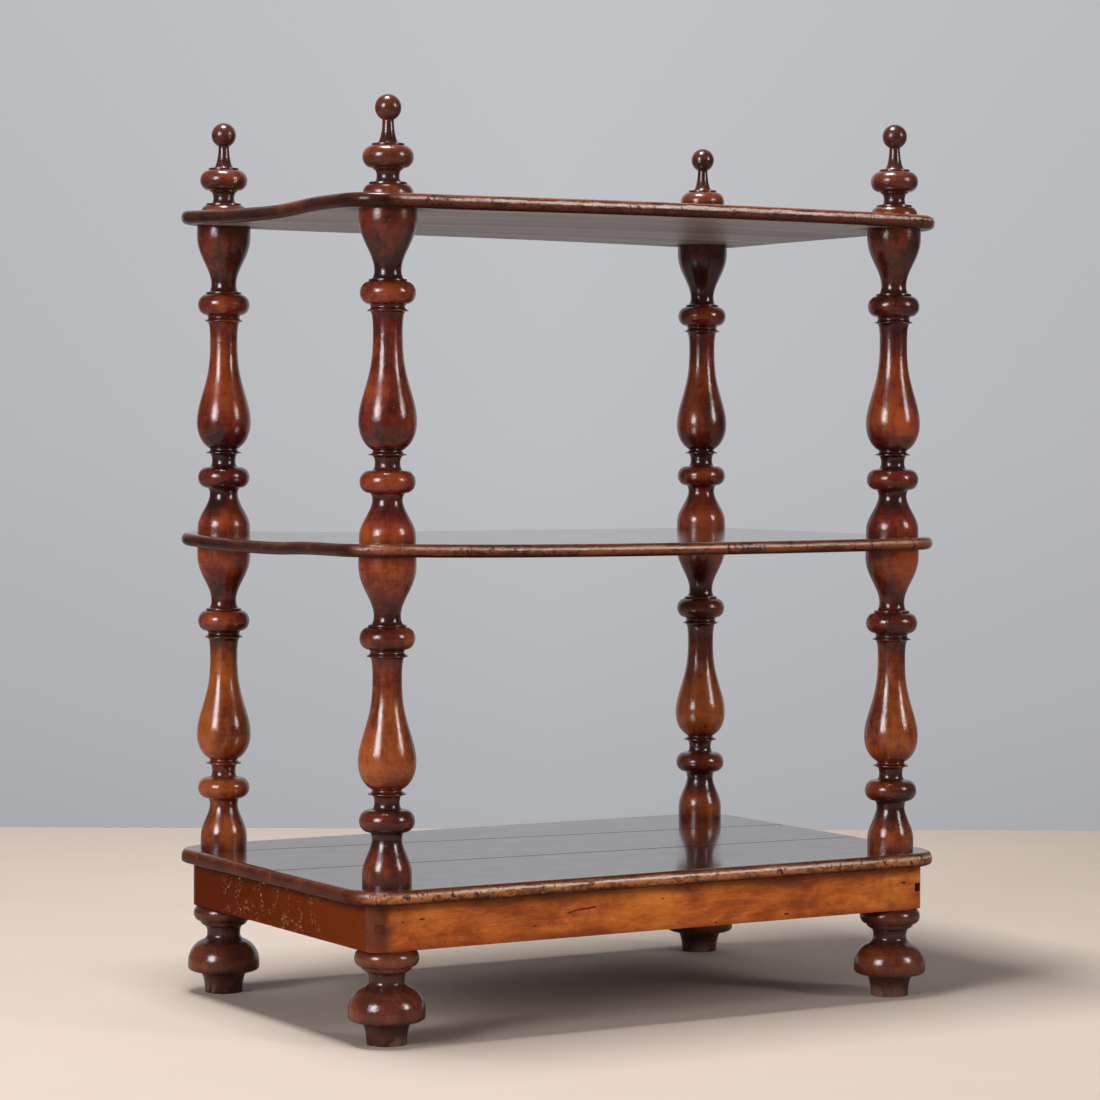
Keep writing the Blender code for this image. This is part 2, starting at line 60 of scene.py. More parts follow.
# Levels and half sizes in plan, from the frame
APRON_LEVEL, APRON_TOP = (corner.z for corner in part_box("apron_front"))
BASE_LEVEL, BASE_TOP = (corner.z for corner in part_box("base_board_front"))
MIDDLE_LEVEL, MIDDLE_TOP = (corner.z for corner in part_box("middle_shelf"))
TOP_LEVEL, TOP_TOP = (corner.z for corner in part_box("top_shelf"))
FINIAL_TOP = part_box("finial_front_left")[1].z
SHELF_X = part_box("top_shelf")[1].x
SHELF_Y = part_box("top_shelf")[1].y
BASE_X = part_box("base_board_middle")[1].x
BASE_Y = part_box("base_board_back")[1].y
COLUMN_X = sum(corner.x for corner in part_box("upper_column_back_right")) / 2
COLUMN_Y = sum(corner.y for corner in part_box("upper_column_back_right")) / 2
RAIL_INNER_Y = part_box("apron_back")[0].y

# Mouldings that the turned pieces share
TORUS_HEIGHT = 0.0262
TORUS_RADIUS = 0.0326
TORUS_ROOT_RADIUS = 0.0212
FILLET_HEIGHT = 0.0026
FILLET_RADIUS = 0.0223

# Column, from its head down
HEAD_RADIUS = 0.0338
HEAD_DRUM_HEIGHT = 0.0078
HEAD_NECK_RADIUS = 0.0158
HEAD_FLARE_HEIGHT = 0.0100
GROOVE_HEIGHT = 0.0026
GROOVE_RADIUS = 0.0198
COLLAR_HEIGHT = 0.0070
COLLAR_RADIUS = 0.0240
COLLAR_LIP_HEIGHT = 0.0012
THROAT_RADIUS = 0.0173
VASE_RADIUS = 0.0341
VASE_FOOT_RADIUS = 0.0171
LOW_COLLAR_RADIUS = 0.0223
LOW_NECK_HEIGHT = 0.0160
LOW_NECK_RADIUS = 0.0148
LOW_FLARE_RADIUS = 0.0186
FOOT_NECK_HEIGHT = 0.0075
FOOT_NECK_RADIUS = 0.0177
UPPER_FOOT_RADIUS = 0.0331
UPPER_FOOT_DRUM_HEIGHT = 0.0090
LOWER_FOOT_RADIUS = 0.0291
LOWER_FOOT_DRUM_HEIGHT = 0.0147

# How a column's long curves share the height that its mouldings leave
HEAD_BELL_SHARE = 0.235
THROAT_SHARE = 0.080
VASE_SWELL_SHARE = 0.396
VASE_CLOSE_SHARE = 0.127
COLLAR_SLOPE_SHARE = 0.62

# How far the end of a column or finial reaches into a warped board
SEAT_DEPTH = 0.0050

# Finial, from its ball down
BALL_RADIUS = 0.0155
BALL_STEPS = 18
SPIRE_TIP_RADIUS = 0.0067
SPIRE_FOOT_RADIUS = 0.0125
DISC_HEIGHT = 0.0026
DISC_RADIUS = 0.0191
BEAD_HEIGHT = 0.0255
BEAD_RADIUS = 0.0298
BEAD_ROOT_RADIUS = 0.0185
BEAD_FILLET_HEIGHT = 0.0016
BEAD_FILLET_RADIUS = 0.0174
SCOTIA_HEIGHT = 0.0149
SCOTIA_RADIUS = 0.0132
SCOTIA_FOOT_RADIUS = 0.0165
FINIAL_BASE_HEIGHT = 0.0119
FINIAL_BASE_RADIUS = 0.0296

# Foot, from the ring under the apron down to the floor
RING_HEIGHT = 0.0200
RING_RADIUS = 0.0380
RING_ROOT_RADIUS = 0.0300
FOOT_FILLET_HEIGHT = 0.0032
FOOT_FILLET_RADIUS = 0.0292
FOOT_STEP_HEIGHT = 0.0018
FOOT_STEP_RADIUS = 0.0268
ANKLE_HEIGHT = 0.0090
ANKLE_RADIUS = 0.0209
CUP_RADIUS = 0.0452
CUP_STRAIGHT = 0.0030
CUP_TURN_RADIUS = 0.0300
CUP_FLARE_SHARE = 0.23
CUP_SWEEP = math.radians(62)
CUP_DRUM_HEIGHT = 0.0065
CUP_LIP_HEIGHT = 0.0055
CUP_LIP_RADIUS = 0.0335
PLINTH_HEIGHT = 0.0265
PLINTH_TOP_RADIUS = 0.0315
PLINTH_RADIUS = 0.0236

# Pure numbers that lean a long curve towards one of its ends
BELL_LEAN = 1.15
VASE_LEAN = 1.4
FOOT_BELL_LEAN = 0.93
QUARTER_TURN = math.pi / 2
CLOSING_SWEEP = math.radians(70)

# Which corners of an outline are eased, and how much of its sides that may take
EASED_TURN = math.radians(28)
EASE_SHARE = 0.45

# How far round a point of an outline its neighbours count, and how far it stands out from them
SWELL_REACH = 0.0300
SWELL_DEPTH = 0.0100
SHADE_REACH = 0.0130
SAME_LEVEL = 0.00001
COVER_RADIUS = 0.0550

# Turned surfaces: how they stray from round, what is welded, and what stays a sharp edge
WAVER_SCALE = 0.9
WAVER_RATE = 30.0
AXIS_RADIUS = 0.001
WELD_DISTANCE = 0.000005
TURNED_SHARP_ANGLE = math.radians(42)

# Seeds of the turned pieces: the first of each kind, and the step from stack to stack
UPPER_COLUMN_SEED = 0
LOWER_COLUMN_SEED = 50
FINIAL_SEED = 100
FOOT_SEED = 150
SEED_STEP = 3

# Boards
SHELF_CORNER_RADIUS = 0.0600
SHELF_EDGE_RADIUS = 0.0072
BASE_CORNER_RADIUS = 0.0550
BASE_EDGE_RADIUS = 0.0078
JOINT_EDGE_RADIUS = 0.0012
FRONT_JOINT_SHARE = 0.19
BACK_JOINT_SHARE = 0.50
FRONT_JOINT_TILT = math.radians(-3.6)
BACK_JOINT_TILT = math.radians(-6.5)
JOINT_GAP = 0.0012

# How the top shelf is warped: its crown, the wave of its left end, and the lift of its back edge
CROWN_PLACE = 0.090
CROWN_REACH = 0.400
WAVE_START = 0.030
WAVE_LENGTH = 0.130
WAVE_LOW_PLACE = 0.020
WAVE_FRONT = 1.4
WAVE_BACK = 2.5
WAVE_BACK_POWER = 1.5
BACK_LIFT = 0.32
BACK_LIFT_SLOPE = 0.86
END_POWER = 3

# How the middle shelf is warped: a fold across its left end, and a raised back corner
FOLD_PLACE = 0.075
FOLD_REACH = 0.020
FOLD_LIFT = 1.2
CORNER_LIFT = 2.4
CORNER_POWER = 2.6

# Wear of the edges: its size, and how much is even, broad or sharp
DENT_BROAD_RATE = 70.0
DENT_SHARP_RATE = 320.0
DENT_SHARP_START = 0.25
DENT_EVEN = 0.35
DENT_BROAD = 0.35
DENT_SHARP = 1.6
BASE_WEAR = 1.4

# How finely boards are meshed, and which of their faces are polished, edge or bare
BOARD_SPACING = 0.0045
BOARD_ROW_SPACING = 0.0100
BOARD_MARGIN = 0.0016
CORNER_STEPS = 14
EDGE_STEPS = 4
EDGE_FALL_SHARE = 0.48
RIM_GAIN = 1.3
BOARD_SHARP_ANGLE = math.radians(40)
TOP_FACE_NORMAL = 0.95
LOWEST_SHARE = 0.001

# How dark the turned wood is at some levels, from pale at 0: partly its own tone, partly painted shade below the
# bulbs and on the heads under the top shelf
LEVEL_SHADES = (
    (0.005, 0.35), (0.030, 0.45), (0.060, 0.25), (0.078, 0.65), (0.105, 0.45), (0.187, 0.50), (0.200, 0.28),
    (0.212, 0.30), (0.226, 0.54), (0.248, 0.62), (0.272, 0.64), (0.304, 0.20), (0.330, 0.02), (0.400, 0.12),
    (0.445, 0.55), (0.462, 0.72), (0.500, 0.50), (0.530, 0.25), (0.595, 0.22), (0.622, 0.62), (0.652, 0.68),
    (0.708, 0.66), (0.724, 0.24), (0.800, 0.36), (0.856, 0.56), (0.874, 0.72), (0.900, 0.60), (0.925, 0.60),
    (0.958, 0.84), (0.990, 0.80), (1.036, 0.62), (1.085, 0.66))
MIDDLE_SHADE = 0.32

# Turned pieces that are paler, or darker below 0, than the rest
PALENESS = {
    "upper_column_front_left": 0.020, "lower_column_front_left": -0.010, "upper_column_front_right": -0.015,
    "lower_column_front_right": 0.010, "upper_column_back_left": -0.010, "lower_column_back_left": 0.045,
    "upper_column_back_right": -0.020, "lower_column_back_right": -0.010, "foot_front_left": 0.010,
    "foot_front_right": -0.030, "foot_back_left": -0.040, "foot_back_right": -0.020}

# Polish of each wood: how much of it, how rough it is, and the shine of the wood below
TURNED_POLISH = (0.40, 0.07, 0.50)
BOARD_POLISH = (0.80, 0.08, 0.45)
EDGE_POLISH = (0.20, 0.10, 0.12)
UNDERSIDE_POLISH = (0.25, 0.30, 0.40)
FRONT_RAIL_POLISH = (0.06, 0.08, 0.12)
SIDE_RAIL_POLISH = (0.0, 0.10, 0.02)
BLOCK_POLISH = (0.0, 0.10, 0.30)
BUMP_DEPTH = 0.0006
BUMP_STRENGTH = 0.6

# Tones of marks, of places that have aged in their own way, and of painted shade in hollows, on turned wood
RED_CAST = (0.930, 0.660, 0.880)
PAINTED_SHADE_TONE = (0.026, 0.0064, 0.0040)
FOOT_TONE = (0.064, 0.021, 0.014)
FINIAL_TONE = (0.074, 0.022, 0.012)
SCUFF_TONE = (0.230, 0.130, 0.085)
WORM_HOLE = (0.006, 0.003, 0.002)
PORE = (0.014, 0.005, 0.003)

# The same on boards, with the painted highlight of a front edge and the painted shade round the columns under a shelf
JOINT_DIRT = (0.006, 0.004, 0.004)
EDGE_SHADE = (0.030, 0.010, 0.007)
PAINTED_HIGHLIGHT_TONE = (0.560, 0.430, 0.370)
PIT = (0.020, 0.008, 0.005)
COLUMN_SHADE_TONE = (0.030, 0.012, 0.009)
COOL_UNDERSIDE = ((0.28, (0.094, 0.074, 0.064)), (0.72, (0.400, 0.330, 0.290)))
WARM_UNDERSIDE = ((0.28, (0.104, 0.068, 0.050)), (0.72, (0.440, 0.315, 0.235)))

# The same on the rails and blocks, with the painted shadow under the base boards
DARK_END_TONE = (0.072, 0.019, 0.015)
FRONT_OVERHANG_SHADOW = (0.070, 0.020, 0.008)
LOW_EDGE_TONE = (0.220, 0.042, 0.012)
RUDDY_TONE = (0.240, 0.044, 0.014)
FLECK_TONE = (0.026, 0.009, 0.005)
WARM_SIDE_TONE = (0.220, 0.042, 0.003)
SIDE_OVERHANG_SHADOW = (0.036, 0.010, 0.005)
SCRATCH_TONE = (0.700, 0.400, 0.210)
LEFT_TENON_TONE = (0.098, 0.026, 0.019)
RIGHT_TENON_TONE = (0.024, 0.008, 0.005)
BLOCK_TONES = ((0.35, (0.120, 0.066, 0.034)), (0.65, (0.300, 0.180, 0.095)))

# Colours of a worn front edge, by height from the bottom of the board at 0 to its top at 1
SHELF_EDGE_TONES = (
    (0.05, (0.020, 0.006, 0.005)), (0.20, (0.075, 0.014, 0.010)), (0.38, (0.150, 0.040, 0.020)),
    (0.48, (0.120, 0.036, 0.020)), (0.60, (0.190, 0.080, 0.055)), (0.74, (0.190, 0.080, 0.055)),
    (0.82, (0.120, 0.030, 0.015)), (1.00, (0.290, 0.085, 0.032)))
MIDDLE_EDGE_TONES = (
    (0.05, (0.020, 0.006, 0.005)), (0.20, (0.085, 0.018, 0.010)), (0.38, (0.210, 0.062, 0.024)),
    (0.60, (0.330, 0.112, 0.046)), (0.76, (0.290, 0.094, 0.040)), (0.86, (0.120, 0.030, 0.015)),
    (1.00, (0.290, 0.085, 0.032)))
BASE_EDGE_TONES = (
    (0.05, (0.014, 0.005, 0.004)), (0.18, (0.110, 0.030, 0.011)), (0.36, (0.390, 0.138, 0.044)),
    (0.58, (0.490, 0.198, 0.078)), (0.74, (0.410, 0.160, 0.070)), (0.90, (0.120, 0.032, 0.014)),
    (1.00, (0.080, 0.020, 0.012)))

# Colours of the other edges of a board, from the darkest
SHELF_SIDE_TONES = (
    (0.30, (0.024, 0.007, 0.005)), (0.58, (0.056, 0.014, 0.008)), (0.85, (0.130, 0.038, 0.017)))
BASE_SIDE_TONES = (
    (0.30, (0.048, 0.011, 0.005)), (0.55, (0.090, 0.019, 0.008)), (0.80, (0.150, 0.038, 0.014)))

# How pitted each front edge is, how much of a pale band of painted highlight it has, where it turns dark towards the
# left, and where the painted highlight is most
SHELF_PITS = 0.08
BASE_PITS = 0.17
TOP_HIGHLIGHT = 0.9
MIDDLE_HIGHLIGHT = 0.45
BASE_HIGHLIGHT = 0.75
TOP_DARK_END = -0.372
NO_DARK_END = -1.0
DARK_END_FADE = 0.015
HIGHLIGHT_CENTRE = 0.02

# Levels on the turned wood: how red fades in and out, and how far feet and finials have their own tone
RED_FADE_IN = 0.16
RED_FULL = 0.12
RED_FADE_OUT = 0.04
OWN_TONE_FADE = 0.004
FINIAL_FADE = 0.020
SCUFF_TOP = 0.018
SCUFF_FULL = 0.002

# Painted shade round the columns under a shelf, from their radius
COLUMN_SHADE_REACH = 0.022
COLUMN_SHADE_FULL = 0.004

# Dark left end, painted shadow under the base and low edge of the front rail, and the painted shadow under the base,
# warm front and scratches of the side rails
RAIL_END_START = -0.350
RAIL_END_FULL = -0.372
OVERHANG_SHADOW_DEPTH = 0.014
FRONT_OVERHANG_FULL = 0.001
SIDE_OVERHANG_FULL = 0.002
LOW_EDGE_START = 0.016
LOW_EDGE_FULL = 0.004
WARM_START = 0.15
WARM_FULL = -0.24
SCRATCH_BACK = (0.17, 0.13)
SCRATCH_FRONT = (-0.13, -0.10)
TENON_START = 0.005

# The crack in the front rail
CRACK_PLACE = -0.1130
CRACK_REACH = 0.0220
CRACK_SLOPE = 0.13
CRACK_LEVEL = 0.1610
CRACK_BEND = 0.006
CRACK_OUTSIDE = 0.0013
CRACK_INSIDE = 0.0005

# Camera: where it stands, how it looks and its lens
CAMERA_PLACE = (-2.2455, -3.7556, 0.7046)
CAMERA_TURN = math.radians(30.75)
CAMERA_PITCH = math.radians(-1.859)
CAMERA_ROLL = math.radians(0.180)
CAMERA_LENS = 113.3
SENSOR_WIDTH = 36.0

# Lamps: size, degrees to the right of the camera, distance and height of those that stand
LEFT_LAMP = ((1.9, 2.2), -40.0, 5.5, 2.25)
RIGHT_LAMP = ((0.85, 1.9), 64.0, 5.5, 2.50)
LAMP_AIM = (0.0, 0.0, 0.75)
TOP_LAMP_SIZE = (0.75, 1.10)
TOP_LAMP_PLACE = (-0.58, -0.04, 4.1)
LEFT_LAMP_COLOUR = (1.0, 0.97, 0.99)
RIGHT_LAMP_COLOUR = (1.0, 0.95, 0.90)
WHITE = (1.0, 1.0, 1.0)
BLACK = (0.0, 0.0, 0.0)
SKY_COLOUR = (0.93, 0.95, 1.0)

# Floor and wall
BACKGROUND = (0.500, 0.505, 0.530)
FLOOR_REACH = 9.0
FLOOR_FADE = (2.4, 4.6)
FLOOR_DIMMING = 0.55
WALL_DISTANCE = 6.217
WALL_HALF_WIDTH = 1.9
WALL_HEIGHT = 4.0
WALL_SHADE_HEIGHT = 1.49
WALL_SIDE_SHADE = 0.085
WALL_TONES = (
    (0.0, (0.430, 0.434, 0.455)), (0.16, (0.465, 0.470, 0.492)), (0.47, (0.515, 0.520, 0.545)),
    (1.0, (0.545, 0.552, 0.578)))
STAGE_ROUGHNESS = 0.85
STAGE_SHINE = 0.2

# What kind of value a setting holds
LENGTH = {"subtype": "DISTANCE", "unit": "LENGTH"}
COLOUR = {"subtype": "COLOR", "size": 3}
POWER = {"subtype": "POWER", "unit": "POWER"}


class TurningSettings(bpy.types.PropertyGroup):
    """How the turned pieces are made."""

    steps: IntProperty(name="Steps", description="Facets round a turned piece", default=72, min=12)
    waver: FloatProperty(
        name="Waver", description="How far a turned surface strays from round", default=0.00025, **LENGTH)
    ease: FloatProperty(
        name="Ease", description="Rounding of the edges between mouldings", default=0.0005, **LENGTH)
    light: FloatVectorProperty(
        name="Light wood", description="Palest tone of the turned wood", default=(0.430, 0.108, 0.014), **COLOUR)
    middle: FloatVectorProperty(
        name="Middle wood", description="Main tone of the turned wood", default=(0.140, 0.0210, 0.0055), **COLOUR)
    dark: FloatVectorProperty(
        name="Dark wood", description="Darkest tone of the turned wood", default=(0.034, 0.0070, 0.0050), **COLOUR)


class BoardSettings(bpy.types.PropertyGroup):
    """How the shelves and the base are warped and coloured."""

    curl: FloatProperty(
        name="Curl", description="How far the top shelf's left end waves", default=0.0030, **LENGTH)
    crown: FloatProperty(
        name="Crown", description="How far the top shelf rises at its middle", default=0.0027, **LENGTH)
    lift: FloatProperty(
        name="Lift", description="How far the shelves' corners stand out of true", default=0.0026, **LENGTH)
    sag: FloatProperty(
        name="Sag", description="How far the middle shelf sags at its middle", default=0.0018, **LENGTH)
    wear: FloatProperty(
        name="Wear", description="How deep the edges are wear_and_sheen and dented", default=0.0006, **LENGTH)
    light: FloatVectorProperty(
        name="Light board", description="Palest tone of the boards", default=(0.160, 0.044, 0.018), **COLOUR)
    dark: FloatVectorProperty(
        name="Dark board", description="Darkest tone of the boards", default=(0.016, 0.006, 0.005), **COLOUR)


class RailSettings(bpy.types.PropertyGroup):
    """Colours of the apron."""

    front: FloatVectorProperty(
        name="Front rail", description="Main tone of the long rails", default=(0.620, 0.168, 0.028), **COLOUR)
    side: FloatVectorProperty(
        name="Side rail", description="Main tone of the short rails", default=(0.100, 0.0130, 0.0010), **COLOUR)


class StageSettings(bpy.types.PropertyGroup):
    """Floor, wall and lamps."""

    floor: FloatVectorProperty(
        name="Floor", description="Colour of the floor", default=(0.584, 0.498, 0.428), **COLOUR)
    wall: FloatVectorProperty(
        name="Wall", description="Colour of the wall", default=(0.420, 0.425, 0.450), **COLOUR)
    left_power: FloatProperty(
        name="Left lamp", description="Power of the lamp at the left", default=185.0, **POWER)
    right_power: FloatProperty(
        name="Right lamp", description="Power of the lamp at the right", default=88.0, **POWER)
    top_power: FloatProperty(
        name="Top lamp", description="Power of the lamp overhead", default=175.0, **POWER)
    fill: FloatProperty(name="Fill", description="Strength of the light from all round", default=0.10)


class Outline:
    """One side of a turned piece: points of (radius, level), drawn from the top down."""

    def __init__(self, radius, level):
        self.points = [(radius, level)]

    def curve(self, radius, drop, steps, path):
        """A curve whose path gives the shares of the way across and down at each share."""
        start_radius, start_level = self.points[-1]
        for step in range(1, steps + 1):
            across, down = path(step / steps)
            self.points.append((start_radius + (radius - start_radius) * across, start_level - drop * down))

    def line(self, radius, drop=0.0, steps=1):
        """A straight stretch to a radius, some way down."""
        self.curve(radius, drop, steps, lambda share: (share, share))

    def fillet(self, radius, height):
        """A level step to a radius, and straight down from there."""
        self.line(radius)
        self.line(radius, height)

    def spread(self, radius, drop, steps=8):
        """A quarter of an oval that starts level and ends upright."""
        self.curve(radius, drop, steps, lambda share: (
            math.sin(share * QUARTER_TURN), 1 - math.cos(share * QUARTER_TURN)))

    def close(self, radius, drop, steps=8, sweep=QUARTER_TURN):
        """Part of an oval that starts upright and turns towards level."""
        self.curve(radius, drop, steps, lambda share: (
            (1 - math.cos(share * sweep)) / (1 - math.cos(sweep)), math.sin(share * sweep) / math.sin(sweep)))

    def round_out(self, radius, drop, steps, sweep):
        """Part of an oval that starts sloping and ends upright."""
        self.curve(radius, drop, steps, lambda share: (
            1 - (1 - math.cos((1 - share) * sweep)) / (1 - math.cos(sweep)),
            1 - math.sin((1 - share) * sweep) / math.sin(sweep)))

    def sway(self, radius, drop, steps, lean):
        """A double curve that is upright at both ends."""
        self.curve(radius, drop, steps, lambda share: ((1 - math.cos(math.pi * share ** lean)) / 2, share))

    def torus(self, radius, root_radius, height):
        """A round moulding from root to root."""
        self.line(root_radius)
        self.spread(radius, height / 2)
        self.close(root_radius, height / 2)

    def collar(self, radius, root_radius, height):
        """A thin moulding: a slope down to a lip, and a quick return under it."""
        slope = height * COLLAR_SLOPE_SHARE
        self.close(radius, slope, 4, CLOSING_SWEEP)
        self.line(radius, COLLAR_LIP_HEIGHT)
        self.spread(root_radius, height - slope - COLLAR_LIP_HEIGHT, 3)

    def seat(self):
        """The end, which reaches a little way into a warped board."""
        self.line(self.points[-1][0], SEAT_DEPTH)
        self.line(0.0)

    def eased(self, ease):
        """The points with each sharp corner between mouldings rounded."""
        places = [Vector(point) for point in self.points]
        result = [places[0]]
        for before, here, after in zip(places, places[1:], places[2:]):
            back = before - here
            ahead = after - here
            if back.length == 0 or ahead.length == 0 or back.angle(-ahead) <= EASED_TURN:
                result.append(here)
                continue
            reach = min(ease, back.length * EASE_SHARE, ahead.length * EASE_SHARE)
            start = here + back.normalized() * reach
            end = here + ahead.normalized() * reach
            result += [start, here.lerp((start + end) / 2, EASE_SHARE), end]
        result.append(places[-1])
        return result


def column_outline(top, bottom, foot_radius, foot_drum):
    """Outline of a column between two levels."""
    mouldings = (HEAD_DRUM_HEIGHT + HEAD_FLARE_HEIGHT + FILLET_HEIGHT + GROOVE_HEIGHT + 2 * TORUS_HEIGHT
                 + 2 * COLLAR_HEIGHT + LOW_NECK_HEIGHT + FOOT_NECK_HEIGHT + foot_drum)
    spare = top - bottom - mouldings
    head_bell = spare * HEAD_BELL_SHARE
    throat = spare * THROAT_SHARE
    vase_swell = spare * VASE_SWELL_SHARE
    vase_close = spare * VASE_CLOSE_SHARE
    foot_bell = spare - head_bell - throat - vase_swell - vase_close

    outline = Outline(0.0, top + SEAT_DEPTH)
    outline.fillet(HEAD_RADIUS, SEAT_DEPTH)
    outline.line(HEAD_RADIUS, HEAD_DRUM_HEIGHT, steps=2)
    outline.sway(HEAD_NECK_RADIUS, head_bell, steps=20, lean=BELL_LEAN)
    outline.close(GROOVE_RADIUS, HEAD_FLARE_HEIGHT, steps=5)
    outline.fillet(FILLET_RADIUS, FILLET_HEIGHT)
    outline.torus(TORUS_RADIUS, TORUS_ROOT_RADIUS, TORUS_HEIGHT)
    outline.line(GROOVE_RADIUS, GROOVE_HEIGHT)
    outline.collar(COLLAR_RADIUS, GROOVE_RADIUS, COLLAR_HEIGHT)
    outline.spread(THROAT_RADIUS, throat, steps=6)
    outline.sway(VASE_RADIUS, vase_swell, steps=30, lean=VASE_LEAN)
    outline.close(VASE_FOOT_RADIUS, vase_close, steps=14, sweep=CLOSING_SWEEP)
    outline.collar(LOW_COLLAR_RADIUS, VASE_FOOT_RADIUS, COLLAR_HEIGHT)
    outline.spread(LOW_NECK_RADIUS, LOW_NECK_HEIGHT / 2, steps=5)
    outline.close(LOW_FLARE_RADIUS, LOW_NECK_HEIGHT / 2, steps=5)
    outline.torus(TORUS_RADIUS, TORUS_ROOT_RADIUS, TORUS_HEIGHT)
    outline.spread(FOOT_NECK_RADIUS, FOOT_NECK_HEIGHT, steps=4)
    outline.sway(foot_radius, foot_bell, steps=18, lean=FOOT_BELL_LEAN)
    outline.line(foot_radius, foot_drum, steps=3)
    outline.seat()
    return outline


def finial_outline(top, bottom):
    """Outline of a finial: ball, spire, disc, bead, scotia, fillet and base."""
    ball_drop = BALL_RADIUS + math.sqrt(BALL_RADIUS ** 2 - SPIRE_TIP_RADIUS ** 2)
    ball_turn = math.pi - math.asin(SPIRE_TIP_RADIUS / BALL_RADIUS)
    spire = (top - bottom - ball_drop - DISC_HEIGHT - BEAD_HEIGHT - BEAD_FILLET_HEIGHT - SCOTIA_HEIGHT
             - FILLET_HEIGHT - FINIAL_BASE_HEIGHT)

    outline = Outline(0.0, top)
    for step in range(1, BALL_STEPS + 1):
        turn = ball_turn * step / BALL_STEPS
        outline.points.append((BALL_RADIUS * math.sin(turn), top - BALL_RADIUS * (1 - math.cos(turn))))
    outline.close(SPIRE_FOOT_RADIUS, spire, steps=10, sweep=CLOSING_SWEEP)
    outline.fillet(DISC_RADIUS, DISC_HEIGHT)
    outline.torus(BEAD_RADIUS, BEAD_ROOT_RADIUS, BEAD_HEIGHT)
    outline.fillet(BEAD_FILLET_RADIUS, BEAD_FILLET_HEIGHT)
    outline.spread(SCOTIA_RADIUS, SCOTIA_HEIGHT / 2, steps=6)
    outline.close(SCOTIA_FOOT_RADIUS, SCOTIA_HEIGHT / 2, steps=6)
    outline.fillet(FILLET_RADIUS, FILLET_HEIGHT)
    outline.spread(FINIAL_BASE_RADIUS, FINIAL_BASE_HEIGHT)
    outline.seat()
    return outline


def foot_outline(top, bottom):
    """Outline of a foot: ring, fillets, ankle, cup and tapered plinth."""
    cup_height = (top - bottom - RING_HEIGHT - FOOT_FILLET_HEIGHT - FOOT_STEP_HEIGHT - ANKLE_HEIGHT
                  - CUP_DRUM_HEIGHT - CUP_LIP_HEIGHT - PLINTH_HEIGHT)

    outline = Outline(0.0, top)
    outline.torus(RING_RADIUS, RING_ROOT_RADIUS, RING_HEIGHT)
    outline.fillet(FOOT_FILLET_RADIUS, FOOT_FILLET_HEIGHT)
    outline.fillet(FOOT_STEP_RADIUS, FOOT_STEP_HEIGHT)
    outline.spread(ANKLE_RADIUS, ANKLE_HEIGHT, steps=6)
    outline.line(ANKLE_RADIUS, CUP_STRAIGHT)
    outline.close(CUP_TURN_RADIUS, cup_height * CUP_FLARE_SHARE, steps=7, sweep=CUP_SWEEP)
    outline.round_out(CUP_RADIUS, cup_height * (1 - CUP_FLARE_SHARE) - CUP_STRAIGHT, steps=12, sweep=CUP_SWEEP)
    outline.line(CUP_RADIUS, CUP_DRUM_HEIGHT, steps=2)
    outline.close(CUP_LIP_RADIUS, CUP_LIP_HEIGHT, steps=5)
    outline.line(PLINTH_TOP_RADIUS)
    outline.spread(PLINTH_RADIUS, PLINTH_HEIGHT)
    outline.line(0.0)
    return outline


def swell_shading(points):
    """How far each point of an outline stands out from its neighbours, from -1 in a hollow to 1 on a swell; the
    turned wood is painted darker in hollows and paler on swells by it, as shade and light.
    """
    result = []
    for radius, level in points:
        near = [other for other, height in points if abs(height - level) < SWELL_REACH]
        result.append(min(1.0, max(-1.0, (radius - sum(near) / len(near)) / SWELL_DEPTH)))
    return result


def painted_shade(points, covers):
    """How closed in each point of an outline is by what stands out above and below it, from 0 to 1: the turned wood
    is painted darker by it, as shade in its hollows and under the boards.

    Covers are (radius, level) points of the boards that the piece stands between.
    """
    result = []
    for radius, level in points:
        above = math.pi
        below = math.pi
        for other, height in points + covers:
            gap = abs(height - level)
            if SAME_LEVEL <= gap <= SHADE_REACH:
                angle = math.atan2(gap, other - radius)
                if height > level:
                    above = min(above, angle)
                else:
                    below = min(below, angle)
        result.append(min(1.0, max(0.0, 1 - (above + below) / math.pi)))
    return result


class Output:
    """An output of a node. What is worked out from outputs is an output of a new node."""

    def __init__(self, nodes, socket):
        self.nodes = nodes
        self.socket = socket

    def __add__(self, other):
        return self.nodes.math("ADD", self, other)

    def __sub__(self, other):
        return self.nodes.math("SUBTRACT", self, other)

    def __rsub__(self, other):
        return self.nodes.math("SUBTRACT", other, self)

    def __mul__(self, other):
        return self.nodes.math("MULTIPLY", self, other)

    def __truediv__(self, other):
        return self.nodes.math("DIVIDE", self, other)

    def __abs__(self):
        return self.nodes.math("ABSOLUTE", self)

    def __lt__(self, other):
        return self.nodes.math("LESS_THAN", self, other)

    def __gt__(self, other):
        return self.nodes.math("GREATER_THAN", self, other)

    def at_least(self, other):
        """The larger of two values."""
        return self.nodes.math("MAXIMUM", self, other)

    def limits(self, low, high):
        """A smooth step from 0 at low to 1 at high."""
        return self.nodes.make(
            "ShaderNodeMapRange", {"Value": self, "From Min": low, "From Max": high},
            interpolation_type="SMOOTHSTEP")

    def towards(self, colour, share, blend="MIX"):
        """This colour mixed with a share of another."""
        return self.nodes.mixed(share, self, colour, blend)


